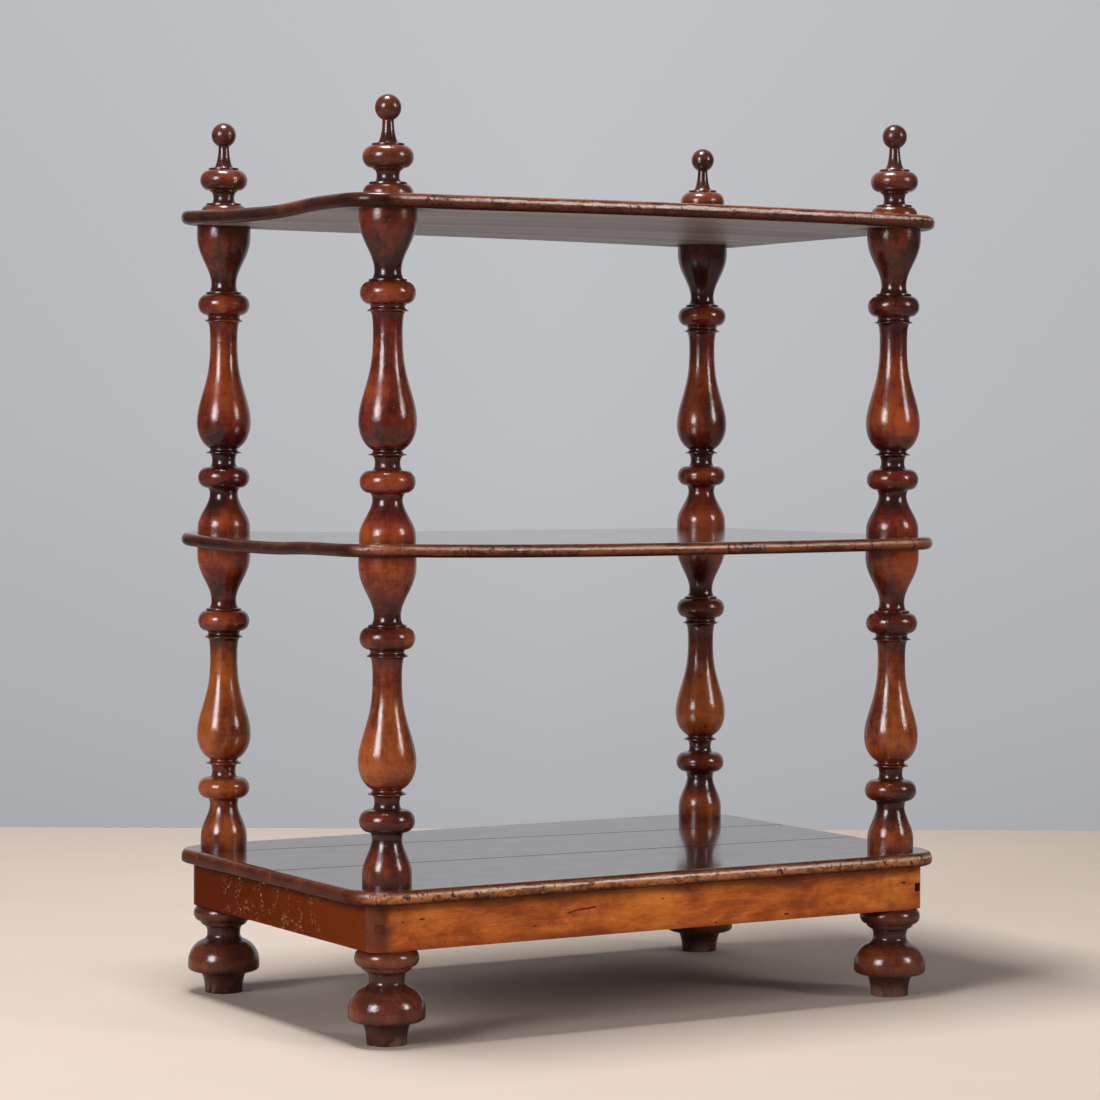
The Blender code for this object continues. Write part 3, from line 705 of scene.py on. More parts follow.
class Nodes:
    """Short ways to add nodes to a tree."""

    def __init__(self, tree):
        self.tree = tree

    def fill(self, node, inputs):
        """Links or sets a node's inputs."""
        for name, value in inputs.items():
            socket = node.inputs[name]
            if isinstance(value, Output):
                self.tree.links.new(value.socket, socket)
            elif socket.type == "RGBA":
                socket.default_value = (*value, 1.0)
            else:
                socket.default_value = value

    def add(self, kind, inputs=None, **settings):
        """A node with its settings and inputs."""
        node = self.tree.nodes.new(kind)
        for name, value in settings.items():
            setattr(node, name, value)
        self.fill(node, inputs or {})
        return node

    def make(self, kind, inputs=None, output=0, **settings):
        """One output of a new node."""
        return Output(self, self.add(kind, inputs, **settings).outputs[output])

    def math(self, operation, first, second=0.0):
        """A sum between two values."""
        return self.make("ShaderNodeMath", {0: first, 1: second}, operation=operation)

    def vector_math(self, operation, first, second=(0.0, 0.0, 0.0), output="Vector"):
        """A sum between two vectors."""
        return self.make("ShaderNodeVectorMath", {0: first, 1: second}, output, operation=operation)

    def whole(self, operation, first, second):
        """A sum between two whole numbers."""
        return self.make("FunctionNodeIntegerMath", {0: first, 1: second}, operation=operation)

    def parts(self, vector):
        """The three parts of a vector."""
        return [Output(self, socket) for socket in self.add("ShaderNodeSeparateXYZ", {"Vector": vector}).outputs]

    def joined(self, x, y, z):
        """A vector from its three parts."""
        return self.make("ShaderNodeCombineXYZ", {"X": x, "Y": y, "Z": z})

    def place(self):
        """Where a point is, in its object's own coordinates."""
        return self.make("ShaderNodeTexCoord", output="Object")

    def facing(self):
        """The three parts of the way that a surface faces."""
        return self.parts(self.make("ShaderNodeNewGeometry", output="Normal"))

    def attribute(self, name):
        """A value stored on the mesh."""
        return self.make("ShaderNodeAttribute", output="Fac", attribute_name=name)

    def tone(self, *parts):
        """Half, plus each value's distance from a half times its weight."""
        total = 0.5
        for value, weight in parts:
            total = self.math("ADD", total, (value - 0.5) * weight)
        return total

    def stretch(self, vector, scale, location=(0.0, 0.0, 0.0)):
        """A vector scaled and shifted."""
        return self.make("ShaderNodeMapping", {"Vector": vector, "Scale": scale, "Location": location})

    def clouds(self, vector, scale, detail=3.0, roughness=0.55, distortion=0.0):
        """Noise from 0 to 1."""
        return self.make("ShaderNodeTexNoise", {
            "Vector": vector, "Scale": scale, "Detail": detail, "Roughness": roughness, "Distortion": distortion})

    def mixed(self, share, first, second, blend="MIX"):
        """Two colours mixed."""
        return self.make("ShaderNodeMix", {0: share, 6: first, 7: second}, 2, data_type="RGBA", blend_type=blend)

    def tones(self, value, stops):
        """A colour ramp through (position, colour) stops."""
        node = self.add("ShaderNodeValToRGB", {"Fac": value})
        elements = node.color_ramp.elements
        while len(elements) < len(stops):
            elements.new(1.0)
        for element, (position, colour) in zip(elements, stops):
            element.position = position
            element.color = (*colour, 1.0)
        return Output(self, node.outputs["Color"])

    def dots(self, vector, scale, size, share):
        """Small round spots, of which only a share is kept, as 1 on 0."""
        cells = self.add("ShaderNodeTexVoronoi", {"Vector": vector, "Scale": scale}, feature="F1").outputs
        kept = self.make("ShaderNodeSeparateColor", {"Color": Output(self, cells["Color"])})
        return Output(self, cells["Distance"]).limits(size, size * 0.55) * (kept < share)

    def shaders(self, share, first, second):
        """Two shaders mixed."""
        return self.make("ShaderNodeMixShader", {0: share, 1: first, 2: second})


def wood(name, polish, finish, *given):
    """A wood, made once. Finish is called with the nodes, the place and what is given.

    It gives the colour, the roughness and the height of the surface.
    """
    if name in bpy.data.materials:
        return bpy.data.materials[name]
    made = bpy.data.materials.new(name)
    made.use_nodes = True
    nodes = Nodes(made.node_tree)
    colour, roughness, height = finish(nodes, nodes.place(), *given)
    bump = nodes.make("ShaderNodeBump", {"Height": height, "Distance": BUMP_DEPTH, "Strength": BUMP_STRENGTH})
    coat, coat_roughness, shine = polish
    nodes.fill(made.node_tree.nodes["Principled BSDF"], {
        "Base Color": colour, "Roughness": roughness, "Normal": bump, "Coat Normal": bump,
        "Specular IOR Level": shine, "Coat Weight": coat, "Coat Roughness": coat_roughness})
    return made


def turned_finish(nodes, place, settings):
    """Old polish on turned wood: mottled, with worm holes and faint turning lines, painted shade in its hollows,
    under the boards and on its parts that face down, and painted light on its swells.
    """
    along = nodes.stretch(place, (1.0, 1.0, 0.05))
    fibre = nodes.clouds(along, 700.0)
    streak = nodes.clouds(along, 190.0, 4.0, 0.6)
    mottle = nodes.clouds(nodes.stretch(place, (1.0, 1.0, 0.6)), 34.0, 4.0, 0.6, 0.5)
    fleck = nodes.clouds(nodes.stretch(place, (1.0, 1.0, 0.7)), 105.0, 5.0, 0.7, 0.4)
    patch = nodes.clouds(place, 13.0, 2.0, 0.5, 0.3)
    rings = nodes.clouds(nodes.stretch(place, (0.10, 0.10, 1.0)), 330.0, 2.0)
    level = nodes.parts(place)[2]
    # Darkness by level, partly the wood's own tone and partly painted shade below the bulbs and on the heads under
    # the top shelf
    level_shade = nodes.tones(level * (1 / FINIAL_TOP), [
        (stop / FINIAL_TOP, (value, value, value)) for stop, value in LEVEL_SHADES])
    # Painted shade on the parts that face down
    downward_shade = nodes.facing()[2].limits(0.02, -0.45)

    tone = nodes.tone((patch, 0.72), (mottle, 0.48), (fleck, 0.34), (streak, 0.16), (rings, 0.14), (fibre, 0.14))
    # Painted shade and light: darker in hollows and paler on swells, by how far the outline stands out
    tone = tone + nodes.attribute("paleness") + nodes.attribute("swell_shading") * 0.12
    tone = tone + (MIDDLE_SHADE - level_shade) * 0.36 - downward_shade * 0.06
    dark, middle, light = tuple(settings.dark), tuple(settings.middle), tuple(settings.light)
    half = tuple((a + b) / 2 for a, b in zip(middle, light))
    colour = nodes.tones(tone, ((0.30, dark), (0.48, middle), (0.62, half), (0.82, light)))

    red = level.limits(MIDDLE_LEVEL - RED_FADE_IN, MIDDLE_LEVEL) * level.limits(
        TOP_LEVEL - RED_FADE_OUT, TOP_LEVEL - RED_FULL)
    # Painted shade: darker where the outline is closed in, in hollows and under the boards
    shade = nodes.attribute("painted_shade").limits(0.22, 0.80) * 0.74
    low = level.limits(APRON_LEVEL + OWN_TONE_FADE, APRON_LEVEL - OWN_TONE_FADE)
    high = level.limits(TOP_TOP - OWN_TONE_FADE, TOP_TOP + FINIAL_FADE) * 0.45
    scuffed = level.limits(SCUFF_TOP, SCUFF_FULL) * mottle.limits(0.42, 0.62)
    pores = nodes.dots(nodes.stretch(place, (1.0, 1.0, 0.22)), 560.0, size=0.32, share=0.14)
    worm = nodes.dots(place, 120.0, size=0.13, share=0.05)
    colour = colour.towards(RED_CAST, red * 0.80, "MULTIPLY")
    for mark, share in ((PAINTED_SHADE_TONE, shade), (FOOT_TONE, low * 0.50), (FINIAL_TONE, high),
                        (SCUFF_TONE, scuffed * 0.7), (WORM_HOLE, worm), (PORE, pores * 0.6)):
        colour = colour.towards(mark, share)
    roughness = mottle * 0.14 + 0.14 + shade * 0.10 + high * 0.06
    height = fleck * 0.90 + rings * 0.14 + fibre * 0.14 - (worm + pores * 0.2)
    return colour, roughness, height


def board_grain(nodes, place, settings):
    """Grain of a board that runs lengthwise: streaks, clouds, fibres and colour."""
    along = nodes.stretch(place, (0.030, 1.0, 1.0))
    fibre = nodes.clouds(along, 700.0)
    streak = nodes.clouds(along, 90.0, 5.0, 0.62, 0.4)
    figure = nodes.clouds(nodes.stretch(place, (0.10, 1.0, 1.0)), 16.0, 3.0, 0.5, 1.6)
    mottle = nodes.clouds(place, 22.0, 4.0, 0.6)
    tone = nodes.tone((streak, 0.62), (figure, 0.55), (mottle, 0.30), (fibre, 0.30))
    dark, light = tuple(settings.dark), tuple(settings.light)
    middle = tuple((2 * a + b) / 3 for a, b in zip(dark, light))
    return streak, mottle, fibre, nodes.tones(tone, ((0.30, dark), (0.55, middle), (0.80, light)))


def jointed(nodes, colour):
    """A board's colour with dirt in its joints."""
    return colour.towards(JOINT_DIRT, nodes.attribute("joint") * 0.92)


def board_finish(nodes, place, settings):
    """Dark polish on the top of a board, darker still in its joints."""
    streak, mottle, fibre, colour = board_grain(nodes, place, settings)
    return jointed(nodes, colour), mottle * 0.18 + 0.14, streak * 0.16 + fibre * 0.03


def edge_finish(nodes, place, settings, front_tones, side_tones, pitted, highlight_share, dark_end):
    """The rounded edge of a board: plain at its sides, and worn, banded and pitted along its front, with a band of
    painted highlight.

    Pitted is how much of the front has pits, the next share how much of a pale band of painted highlight it
    has, and dark_end where the front turns dark towards the left.
    """
    streak, mottle, _, colour = board_grain(nodes, place, settings)
    _, turned_y, turned_z = nodes.facing()
    x = nodes.parts(place)[0]
    strayed = x + (mottle - 0.5) * 0.06
    ahead = turned_y / nodes.math("SQRT", 1.0 - turned_z * turned_z).at_least(0.05)
    front = ahead.limits(-0.30, -0.80) * strayed.limits(dark_end - DARK_END_FADE, dark_end + DARK_END_FADE)

    high = nodes.attribute("height")
    drift = nodes.clouds(nodes.stretch(place, (0.10, 1.0, 1.0)), 160.0, 4.0, 0.65)
    crack = nodes.clouds(nodes.stretch(place, (0.5, 1.0, 1.0)), 260.0, 4.0, 0.65)
    level = high + (drift - 0.5) * 0.30 + (crack - 0.5) * 0.22
    banded = nodes.tones(level, front_tones)
    patchy = nodes.tone((mottle, 1.2), (streak, 0.6), (crack, 0.8))
    banded = banded.towards(banded.towards(EDGE_SHADE, 0.62), patchy.limits(0.52, 0.34))
    # Painted highlight: a pale band along the front edge, a little above its middle
    band = level.limits(0.56, 0.63) * level.limits(0.79, 0.72)
    gaps = nodes.clouds(nodes.stretch(place, (1.0, 0.3, 0.3)), 24.0, 4.0, 0.75)
    middle = abs(x - HIGHLIGHT_CENTRE).limits(0.50, 0.10)
    banded = banded.towards(PAINTED_HIGHLIGHT_TONE, band * (gaps + middle * 0.22).limits(0.42, 0.66) * highlight_share)

    grain = nodes.clouds(nodes.stretch(place, (1.0, 0.15, 1.0)), 110.0, 4.0, 0.6)
    plain = nodes.tones(nodes.tone((mottle, 0.9), (grain, 0.6)) + (high - 0.6) * 0.30, side_tones)
    colour = colour.towards(plain.towards(banded, front), nodes.attribute("rim").limits(0.05, 0.45))

    pits = nodes.dots(nodes.stretch(place, (0.7, 1.0, 1.0)), 330.0, size=0.36, share=pitted)
    zone = nodes.clouds(place, 16.0, 2.0).limits(0.50 - pitted * 0.5, 0.62 - pitted * 0.5)
    nicks = nodes.clouds(nodes.stretch(place, (0.9, 0.9, 0.45)), 260.0, 3.0, 0.6).limits(0.55, 0.63)
    marks = (front * 0.94 + 0.06) * pits.at_least(nicks * zone)
    colour = jointed(nodes, colour.towards(PIT, marks * 0.85))
    roughness = mottle * 0.18 + 0.16 + marks * 0.30
    return colour, roughness, grain * 0.10 + crack * front * 0.35 - marks * 1.2


def underside_finish(nodes, place):
    """Bare, grey-brown wood with streaks along the board, with painted shade round the columns."""
    along = nodes.stretch(place, (0.045, 1.0, 1.0))
    streak = nodes.clouds(along, 34.0, 5.0, 0.62, 0.3)
    fine = nodes.clouds(along, 160.0, 4.0, 0.6)
    warm = nodes.clouds(along, 14.0)
    soft = nodes.clouds(nodes.stretch(place, (0.12, 1.0, 1.0)), 7.0)
    tone = nodes.tone((streak, 0.9), (fine, 0.6), (soft, 0.7))
    colour = nodes.tones(tone, COOL_UNDERSIDE).towards(nodes.tones(tone, WARM_UNDERSIDE), warm.limits(0.50, 0.66))
    # Painted shade: darker round each column where it meets the shelf
    corner = nodes.stretch(nodes.vector_math("ABSOLUTE", place), (1.0, 1.0, 0.0), (-COLUMN_X, -COLUMN_Y, 0.0))
    away = nodes.vector_math("LENGTH", corner, output="Value")
    column_shade = away.limits(HEAD_RADIUS + COLUMN_SHADE_REACH, HEAD_RADIUS + COLUMN_SHADE_FULL)
    return colour.towards(COLUMN_SHADE_TONE, column_shade * 0.85), fine * 0.25 + 0.38, fine * 0.3


def front_rail_finish(nodes, place, settings):
    """Orange-brown figured wood with dark clouds, flecks, a crack, a dark left end and a painted shadow along its top
    under the base.
    """
    along = nodes.stretch(place, (0.10, 1.0, 1.0))
    fibre = nodes.clouds(along, 520.0)
    figure = nodes.clouds(along, 55.0, 5.0, 0.62, 1.2)
    mottle = nodes.clouds(nodes.stretch(place, (0.5, 1.0, 1.0)), 24.0, 4.0, 0.6, 0.8)
    cloud = nodes.clouds(nodes.stretch(place, (0.35, 1.0, 1.0)), 14.0, 3.0, 0.5, 0.4)
    fine = nodes.clouds(nodes.stretch(place, (0.45, 1.0, 1.0)), 120.0, 5.0, 0.7, 0.6)
    x, _, z = nodes.parts(place)
    tone = nodes.tone((figure, 0.42), (mottle, 0.75), (cloud, 1.00), (fine, 0.24), (fibre, 0.26))
    main = Vector(settings.front)
    colour = nodes.tones(tone, [(stop, main * Vector(gains)) for stop, gains in (
        (0.32, (0.46, 0.40, 0.60)), (0.44, (0.72, 0.64, 0.75)), (0.56, (1.0, 1.0, 1.0)), (0.70, (1.25, 1.55, 1.60)))])

    end = (x + mottle * 0.02).limits(RAIL_END_START, RAIL_END_FULL)
    # Painted shadow of the base along the top of the rail
    overhang_shadow = z.limits(APRON_TOP - OVERHANG_SHADOW_DEPTH, APRON_TOP - FRONT_OVERHANG_FULL)
    low = (z + mottle * 0.010).limits(APRON_LEVEL + LOW_EDGE_START, APRON_LEVEL + LOW_EDGE_FULL)
    ruddy = nodes.clouds(nodes.stretch(place, (0.5, 1.0, 1.0)), 46.0, 4.0, 0.7, 0.8).limits(0.54, 0.66)
    specks = nodes.dots(nodes.stretch(place, (0.35, 1.0, 1.0)), 95.0, size=0.17, share=0.12)
    spots = nodes.dots(nodes.stretch(place, (0.6, 1.0, 1.0)), 150.0, size=0.30, share=0.10)
    specks = specks.at_least(spots * nodes.clouds(place, 9.0, 2.0).limits(0.50, 0.62))
    bent = z + nodes.clouds(place, 60.0, 2.0) * CRACK_BEND - x * CRACK_SLOPE
    crack = abs(bent - CRACK_LEVEL).limits(CRACK_OUTSIDE, CRACK_INSIDE)
    specks = specks.at_least(crack * abs(x - CRACK_PLACE).limits(CRACK_REACH, CRACK_REACH * 0.85))
    for mark, share in ((DARK_END_TONE, end * 0.86), (FRONT_OVERHANG_SHADOW, overhang_shadow * 0.70), (LOW_EDGE_TONE, low * 0.55),
                        (RUDDY_TONE, ruddy * 0.45), (FLECK_TONE, specks * 0.85)):
        colour = colour.towards(mark, share)
    return colour, mottle * 0.16 + 0.22, figure * 0.2 - specks


def side_rail_finish(nodes, place, settings):
    """Red-brown wood with a patch of pale scratches, a painted shadow along its top under the base, and the ends of
    its tenons.
    """
    along = nodes.stretch(place, (1.0, 0.08, 1.0))
    fibre = nodes.clouds(along, 520.0)
    figure = nodes.clouds(along, 60.0, 4.0, 0.6, 0.8)
    mottle = nodes.clouds(place, 22.0)
    x, y, z = nodes.parts(place)
    main = Vector(settings.side)
    tone = figure * 0.5 + mottle * 0.4 + fibre * 0.1
    colour = nodes.tones(tone, ((0.30, main * 0.78), (0.50, main), (0.72, main * 1.35)))

    warm = y.limits(WARM_START, WARM_FULL)
    # Painted shadow of the base along the top of the rail
    overhang_shadow = z.limits(APRON_TOP - OVERHANG_SHADOW_DEPTH, APRON_TOP - SIDE_OVERHANG_FULL)
    bent = nodes.clouds(nodes.stretch(place, (1.0, 0.45, 1.0)), 175.0, 2.0, 0.5, 1.2)
    line = abs(bent - 0.5).limits(0.028, 0.010) * nodes.clouds(place, 260.0, 2.0).limits(0.49, 0.55)
    zone = y.limits(*SCRATCH_BACK) * y.limits(*SCRATCH_FRONT) * nodes.clouds(place, 45.0, 2.0).limits(0.49, 0.58)
    scratch = line * zone
    tenon = abs(y) > RAIL_INNER_Y + TENON_START
    for mark, share in ((WARM_SIDE_TONE, warm * 0.45), (SIDE_OVERHANG_SHADOW, overhang_shadow * 0.8), (SCRATCH_TONE, scratch * 0.78),
                        (nodes.mixed(x > 0.0, LEFT_TENON_TONE, RIGHT_TENON_TONE), tenon * 0.9)):
        colour = colour.towards(mark, share)
    return colour, mottle * 0.16 + 0.22, figure * 0.2 - scratch


def block_finish(nodes, place):
    """Bare softwood."""
    grain = nodes.clouds(nodes.stretch(place, (1.0, 0.08, 1.0)), 220.0, 4.0)
    return nodes.tones(grain, BLOCK_TONES), grain * 0.2 + 0.55, grain


def turning_tree():
    """Geometry nodes that turn an outline about the upright axis, slightly out of round."""
    if "turning" in bpy.data.node_groups:
        return bpy.data.node_groups["turning"]
    tree = bpy.data.node_groups.new("turning", "GeometryNodeTree")
    for name, kind in (("Outline", "Geometry"), ("Steps", "Int"), ("Seed", "Int"), ("Waver", "Float"),
                       ("Place", "Vector"), ("Wood", "Material")):
        tree.interface.new_socket(name, in_out="INPUT", socket_type=f"NodeSocket{kind}")
    tree.interface.new_socket("Turned", in_out="OUTPUT", socket_type="NodeSocketGeometry")

    nodes = Nodes(tree)
    given = {socket.name: Output(nodes, socket) for socket in nodes.add("NodeGroupInput").outputs}
    count = nodes.make("GeometryNodeAttributeDomainSize", {"Geometry": given["Outline"]}, "Point Count")
    around = nodes.whole("ADD", given["Steps"], 1)
    shape = nodes.make("GeometryNodeMeshGrid", {"Vertices X": around, "Vertices Y": count})
    index = nodes.make("GeometryNodeInputIndex")
    along = nodes.whole("MODULO", index, count)
    step = nodes.whole("DIVIDE_FLOOR", index, count)

    def sampled(value, kind):
        """A value of the outline's point that a point of the grid is made from."""
        return nodes.make("GeometryNodeSampleIndex", {
            "Geometry": given["Outline"], "Value": value, "Index": along}, data_type=kind)

    outline_radius, _, level = nodes.parts(sampled(nodes.make("GeometryNodeInputPosition"), "FLOAT_VECTOR"))
    angle = nodes.math("FRACT", step / given["Steps"]) * (2 * math.pi)
    cosine = nodes.math("COSINE", angle)
    sine = nodes.math("SINE", angle)
    probe = nodes.joined(cosine, sine, level * WAVER_RATE + given["Seed"])
    strayed = (nodes.clouds(probe, WAVER_SCALE, 2.0) - 0.5) * given["Waver"] * (outline_radius > AXIS_RADIUS)
    radius = outline_radius + strayed
    spot = nodes.vector_math("ADD", nodes.joined(radius * cosine, radius * sine, level), given["Place"])
    for title in ("swell_shading", "painted_shade", "paleness"):
        named = nodes.make("GeometryNodeInputNamedAttribute", {"Name": title}, data_type="FLOAT")
        shape = nodes.make(
            "GeometryNodeStoreNamedAttribute", {"Geometry": shape, "Name": title, "Value": sampled(named, "FLOAT")},
            data_type="FLOAT", domain="POINT")
    shape = nodes.make("GeometryNodeSetPosition", {"Geometry": shape, "Position": spot})
    shape = nodes.make("GeometryNodeMergeByDistance", {"Geometry": shape, "Distance": WELD_DISTANCE})
    shape = nodes.make("GeometryNodeSetShadeSmooth", {"Geometry": shape})
    shape = nodes.make("GeometryNodeRealizeInstances", {"Geometry": shape})
    shape = nodes.make("GeometryNodeSetMaterial", {"Geometry": shape, "Material": given["Wood"]})
    nodes.add("NodeGroupOutput", {"Turned": shape})
    return tree


def in_scene(name, data):
    """An object of the scene."""
    made = bpy.data.objects.new(name, data)
    bpy.context.scene.collection.objects.link(made)
    return made


def finished(name, mesh, node):
    """A finished piece that rides on the body and stands for its CAD node."""
    made = in_scene(name, mesh)
    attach(made, BODY)
    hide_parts(node)


def outwards(mesh):
    """Makes a mesh's faces point outwards."""
    solid = bmesh.new()
    solid.from_mesh(mesh)
    bmesh.ops.recalc_face_normals(solid, faces=solid.faces)
    solid.to_mesh(mesh)
    solid.free()


def store(mesh, values):
    """Stores lists of numbers on a mesh's points."""
    for title, numbers in values.items():
        mesh.attributes.new(title, "FLOAT", "POINT").data.foreach_set("value", numbers)


def turned_piece(node, outline, settings, seed):
    """One turned piece in place of a CAD node, made by the turning tree."""
    points = [tuple(point) for point in outline.eased(settings.ease)]
    source = bpy.data.meshes.new(node + "_outline")
    source.from_pydata([(radius, 0.0, level) for radius, level in points],
                       [(index, index + 1) for index in range(len(points) - 1)], [])
    covers = [(COVER_RADIUS, level) for _, level in (points[0], points[-1]) if level not in (0.0, FINIAL_TOP)]
    store(source, {"swell_shading": swell_shading(points), "painted_shade": painted_shade(points, covers),
                   "paleness": [PALENESS.get(node, 0.0)] * len(points)})
    carrier = in_scene(node + "_carrier", source)
    modifier = carrier.modifiers.new("turning", "NODES")
    modifier.node_group = turning_tree()
    low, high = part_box(node)
    given = {
        "Steps": settings.steps, "Seed": seed, "Waver": settings.waver,
        "Place": ((low.x + high.x) / 2, (low.y + high.y) / 2, 0.0),
        "Wood": wood("polished_turned_wood", TURNED_POLISH, turned_finish, settings)}
    for socket in modifier.node_group.interface.items_tree:
        if socket.name in given:
            modifier[socket.identifier] = given[socket.name]
    bpy.context.view_layer.update()
    shown = carrier.evaluated_get(bpy.context.evaluated_depsgraph_get())
    mesh = bpy.data.meshes.new_from_object(shown)
    bpy.data.objects.remove(carrier)
    outwards(mesh)
    mesh.set_sharp_from_angle(angle=TURNED_SHARP_ANGLE)
    finished(node + "_turning", mesh, node)


def turned_pieces(context, *kinds):
    """Turned pieces of some kinds, each a name, an outline and a first seed, at each corner."""
    for place, corner in enumerate(CORNERS):
        for name, outline, seed in kinds:
            turned_piece(f"{name}_{corner}", outline, context.scene.etagere_turning, SEED_STEP * place + seed)


class Edge:
    """One point on a board's outline: where it is, how far the rounding leans out, and how deep it falls."""

    def __init__(self, x, y, lean_x, lean_y, fall, joint=0.0):
        self.place = Vector((x, y))
        self.lean = Vector((lean_x, lean_y))
        self.fall = fall
        self.joint = joint


def evenly(start, end, spacing):
    """Even places from start to end, both included."""
    count = max(1, round(abs(end - start) / spacing))
    return [start + (end - start) * step / count for step in range(count + 1)]


def rounded_side(half_x, half_y, corner, edge, side):
    """A board's front or back side from left to right, with a round corner at each end."""
    reach = half_x - corner
    points = []
    for step in range(CORNER_STEPS):
        angle = QUARTER_TURN * step / CORNER_STEPS
        points.append(Edge(
            -reach - corner * math.cos(angle), side * (half_y - corner + corner * math.sin(angle)),
            -edge * math.cos(angle), side * edge * math.sin(angle), edge))
    middle = [Edge(x, side * half_y, 0.0, side * edge, edge) for x in evenly(-reach, reach, BOARD_SPACING)]
    mirrored = [Edge(-point.place.x, point.place.y, -point.lean.x, point.lean.y, point.fall)
                for point in reversed(points)]
    return points + middle + mirrored


def joint_side(count, share, tilt, side):
    """A base board's straight side along a joint, from left to right, with a given number of points."""
    reach = BASE_X - BASE_EDGE_RADIUS
    places = [-BASE_X] + evenly(-reach, reach, 2 * reach / (count - 3)) + [BASE_X]
    points = []
    for x in places:
        y = share * BASE_Y + x * math.tan(tilt) - side * JOINT_GAP / 2
        if abs(x) < BASE_X:
            points.append(Edge(x, y, 0.0, side * JOINT_EDGE_RADIUS, JOINT_EDGE_RADIUS, joint=1.0))
        else:
            lean_x = math.copysign(BASE_EDGE_RADIUS, x)
            points.append(Edge(x, y, lean_x, side * JOINT_EDGE_RADIUS, BASE_EDGE_RADIUS))
    return points


def board_mesh(name, front, back, bottom, top, warp, dent, outer, lower_fall):
    """A closed board between its front and back sides, with rounded edges, warped and dented.

    The sides have equally many points. The mesh is two grids and a band of rings round the edge.
    """
    verts = []
    rims = []
    joints = []
    heights = []
    depth = max((b.place - f.place).length for f, b in zip(front, back))
    margin = BOARD_MARGIN / depth
    shares = [0.0, margin, *evenly(0.0, 1.0, BOARD_ROW_SPACING / depth)[1:-1], 1.0 - margin, 1.0]
    last_row = len(shares) - 1
    last_column = len(front) - 1

    def put(x, y, z, rim, joint):
        verts.append((x, y, z + warp(x, y)))
        rims.append(rim)
        joints.append(joint)
        heights.append((z - bottom) / (top - bottom))
        return len(verts) - 1

    def inset_grid(level):
        """Rows of points from the front side to the back side, within the rounding."""
        rows = []
        for row, share in enumerate(shares):
            line = []
            for low, high in zip(front, back):
                spot = (low.place - low.lean).lerp(high.place - high.lean, share)
                joint = low.joint if row == 0 else high.joint if row == last_row else 0.0
                line.append(put(spot.x, spot.y, level, 0.0, joint))
            rows.append(line)
        return rows

    upper = inset_grid(top)
    lower = inset_grid(bottom)
    faces = []
    for rows, order in ((upper, 1), (lower, -1)):
        for near, far in zip(rows, rows[1:]):
            for column in range(last_column):
                faces.append([near[column], near[column + 1], far[column + 1], far[column]][::order])

    def end_edges(column, sign):
        """Points of a straight end between the front and back sides, with those of the grids beside them."""
        low, high = front[column].place, back[column].place
        edges = []
        for row, share in list(enumerate(shares))[1:-1]:
            x = low.x + (high.x - low.x) * share
            y = low.y + (high.y - low.y) * share
            edges.append((Edge(x, y, sign * outer, 0.0, outer), upper[row][column], lower[row][column]))
        return edges

    ring = [(edge, upper[0][column], lower[0][column]) for column, edge in enumerate(front)]
    ring += end_edges(last_column, 1)
    ring += [(edge, upper[last_row][column], lower[last_row][column]) for column, edge in enumerate(back)][::-1]
    ring += end_edges(0, -1)[::-1]

    quarter = [QUARTER_TURN * step / EDGE_STEPS for step in range(1, EDGE_STEPS + 1)]
    bands = [(angle, True) for angle in quarter] + [(angle, False) for angle in reversed(quarter)]
    loops = [[corner[1] for corner in ring]]
    for angle, from_top in bands:
        out, down = math.sin(angle), 1 - math.cos(angle)
        loop = []
        for edge, _, _ in ring:
            if from_top:
                level = top - min(edge.fall, (top - bottom) * EDGE_FALL_SHARE) * down
            else:
                level = bottom + min(edge.fall, lower_fall) * down
            spot = edge.place - edge.lean * (1 - out)
            free = 1 - edge.joint
            pushed = spot - edge.lean.normalized() * dent(spot.x, spot.y, level) * free
            loop.append(put(pushed.x, pushed.y, level, free * min(1.0, out * RIM_GAIN), edge.joint))
        loops.append(loop)
    loops.append([corner[2] for corner in ring])
    for above, below in zip(loops, loops[1:]):
        for place in range(len(ring)):
            following = (place + 1) % len(ring)
            faces.append([above[place], below[place], below[following], above[following]])

    mesh = bpy.data.meshes.new(name)
    mesh.from_pydata(verts, [], faces)
    store(mesh, {"rim": rims, "joint": joints, "height": heights})
    outwards(mesh)
    mesh.shade_smooth()
    mesh.set_sharp_from_angle(angle=BOARD_SHARP_ANGLE)
    return mesh


def finished_board(node, ending, mesh, woods):
    """A board with its polish, its duller edge and bare wood underneath, in place of its CAD node."""
    for material in woods:
        mesh.materials.append(material)
    heights = mesh.attributes["height"].data
    for face in mesh.polygons:
        low = all(heights[corner].value < LOWEST_SHARE for corner in face.vertices)
        face.material_index = 0 if face.normal.z > TOP_FACE_NORMAL else 2 if low else 1
    finished(node + ending, mesh, node)


def no_warp(x, y):
    """A flat board."""
    return 0.0


def dents(depth):
    """A rule for how deep an edge is worn at a place."""
    def dent(x, y, z):
        place = Vector((x, y, z))
        broad = noise.noise(place * DENT_BROAD_RATE)
        sharp = max(0.0, noise.noise(place * DENT_SHARP_RATE) - DENT_SHARP_START)
        return depth * (DENT_EVEN + DENT_BROAD * broad + DENT_SHARP * sharp)
    return dent


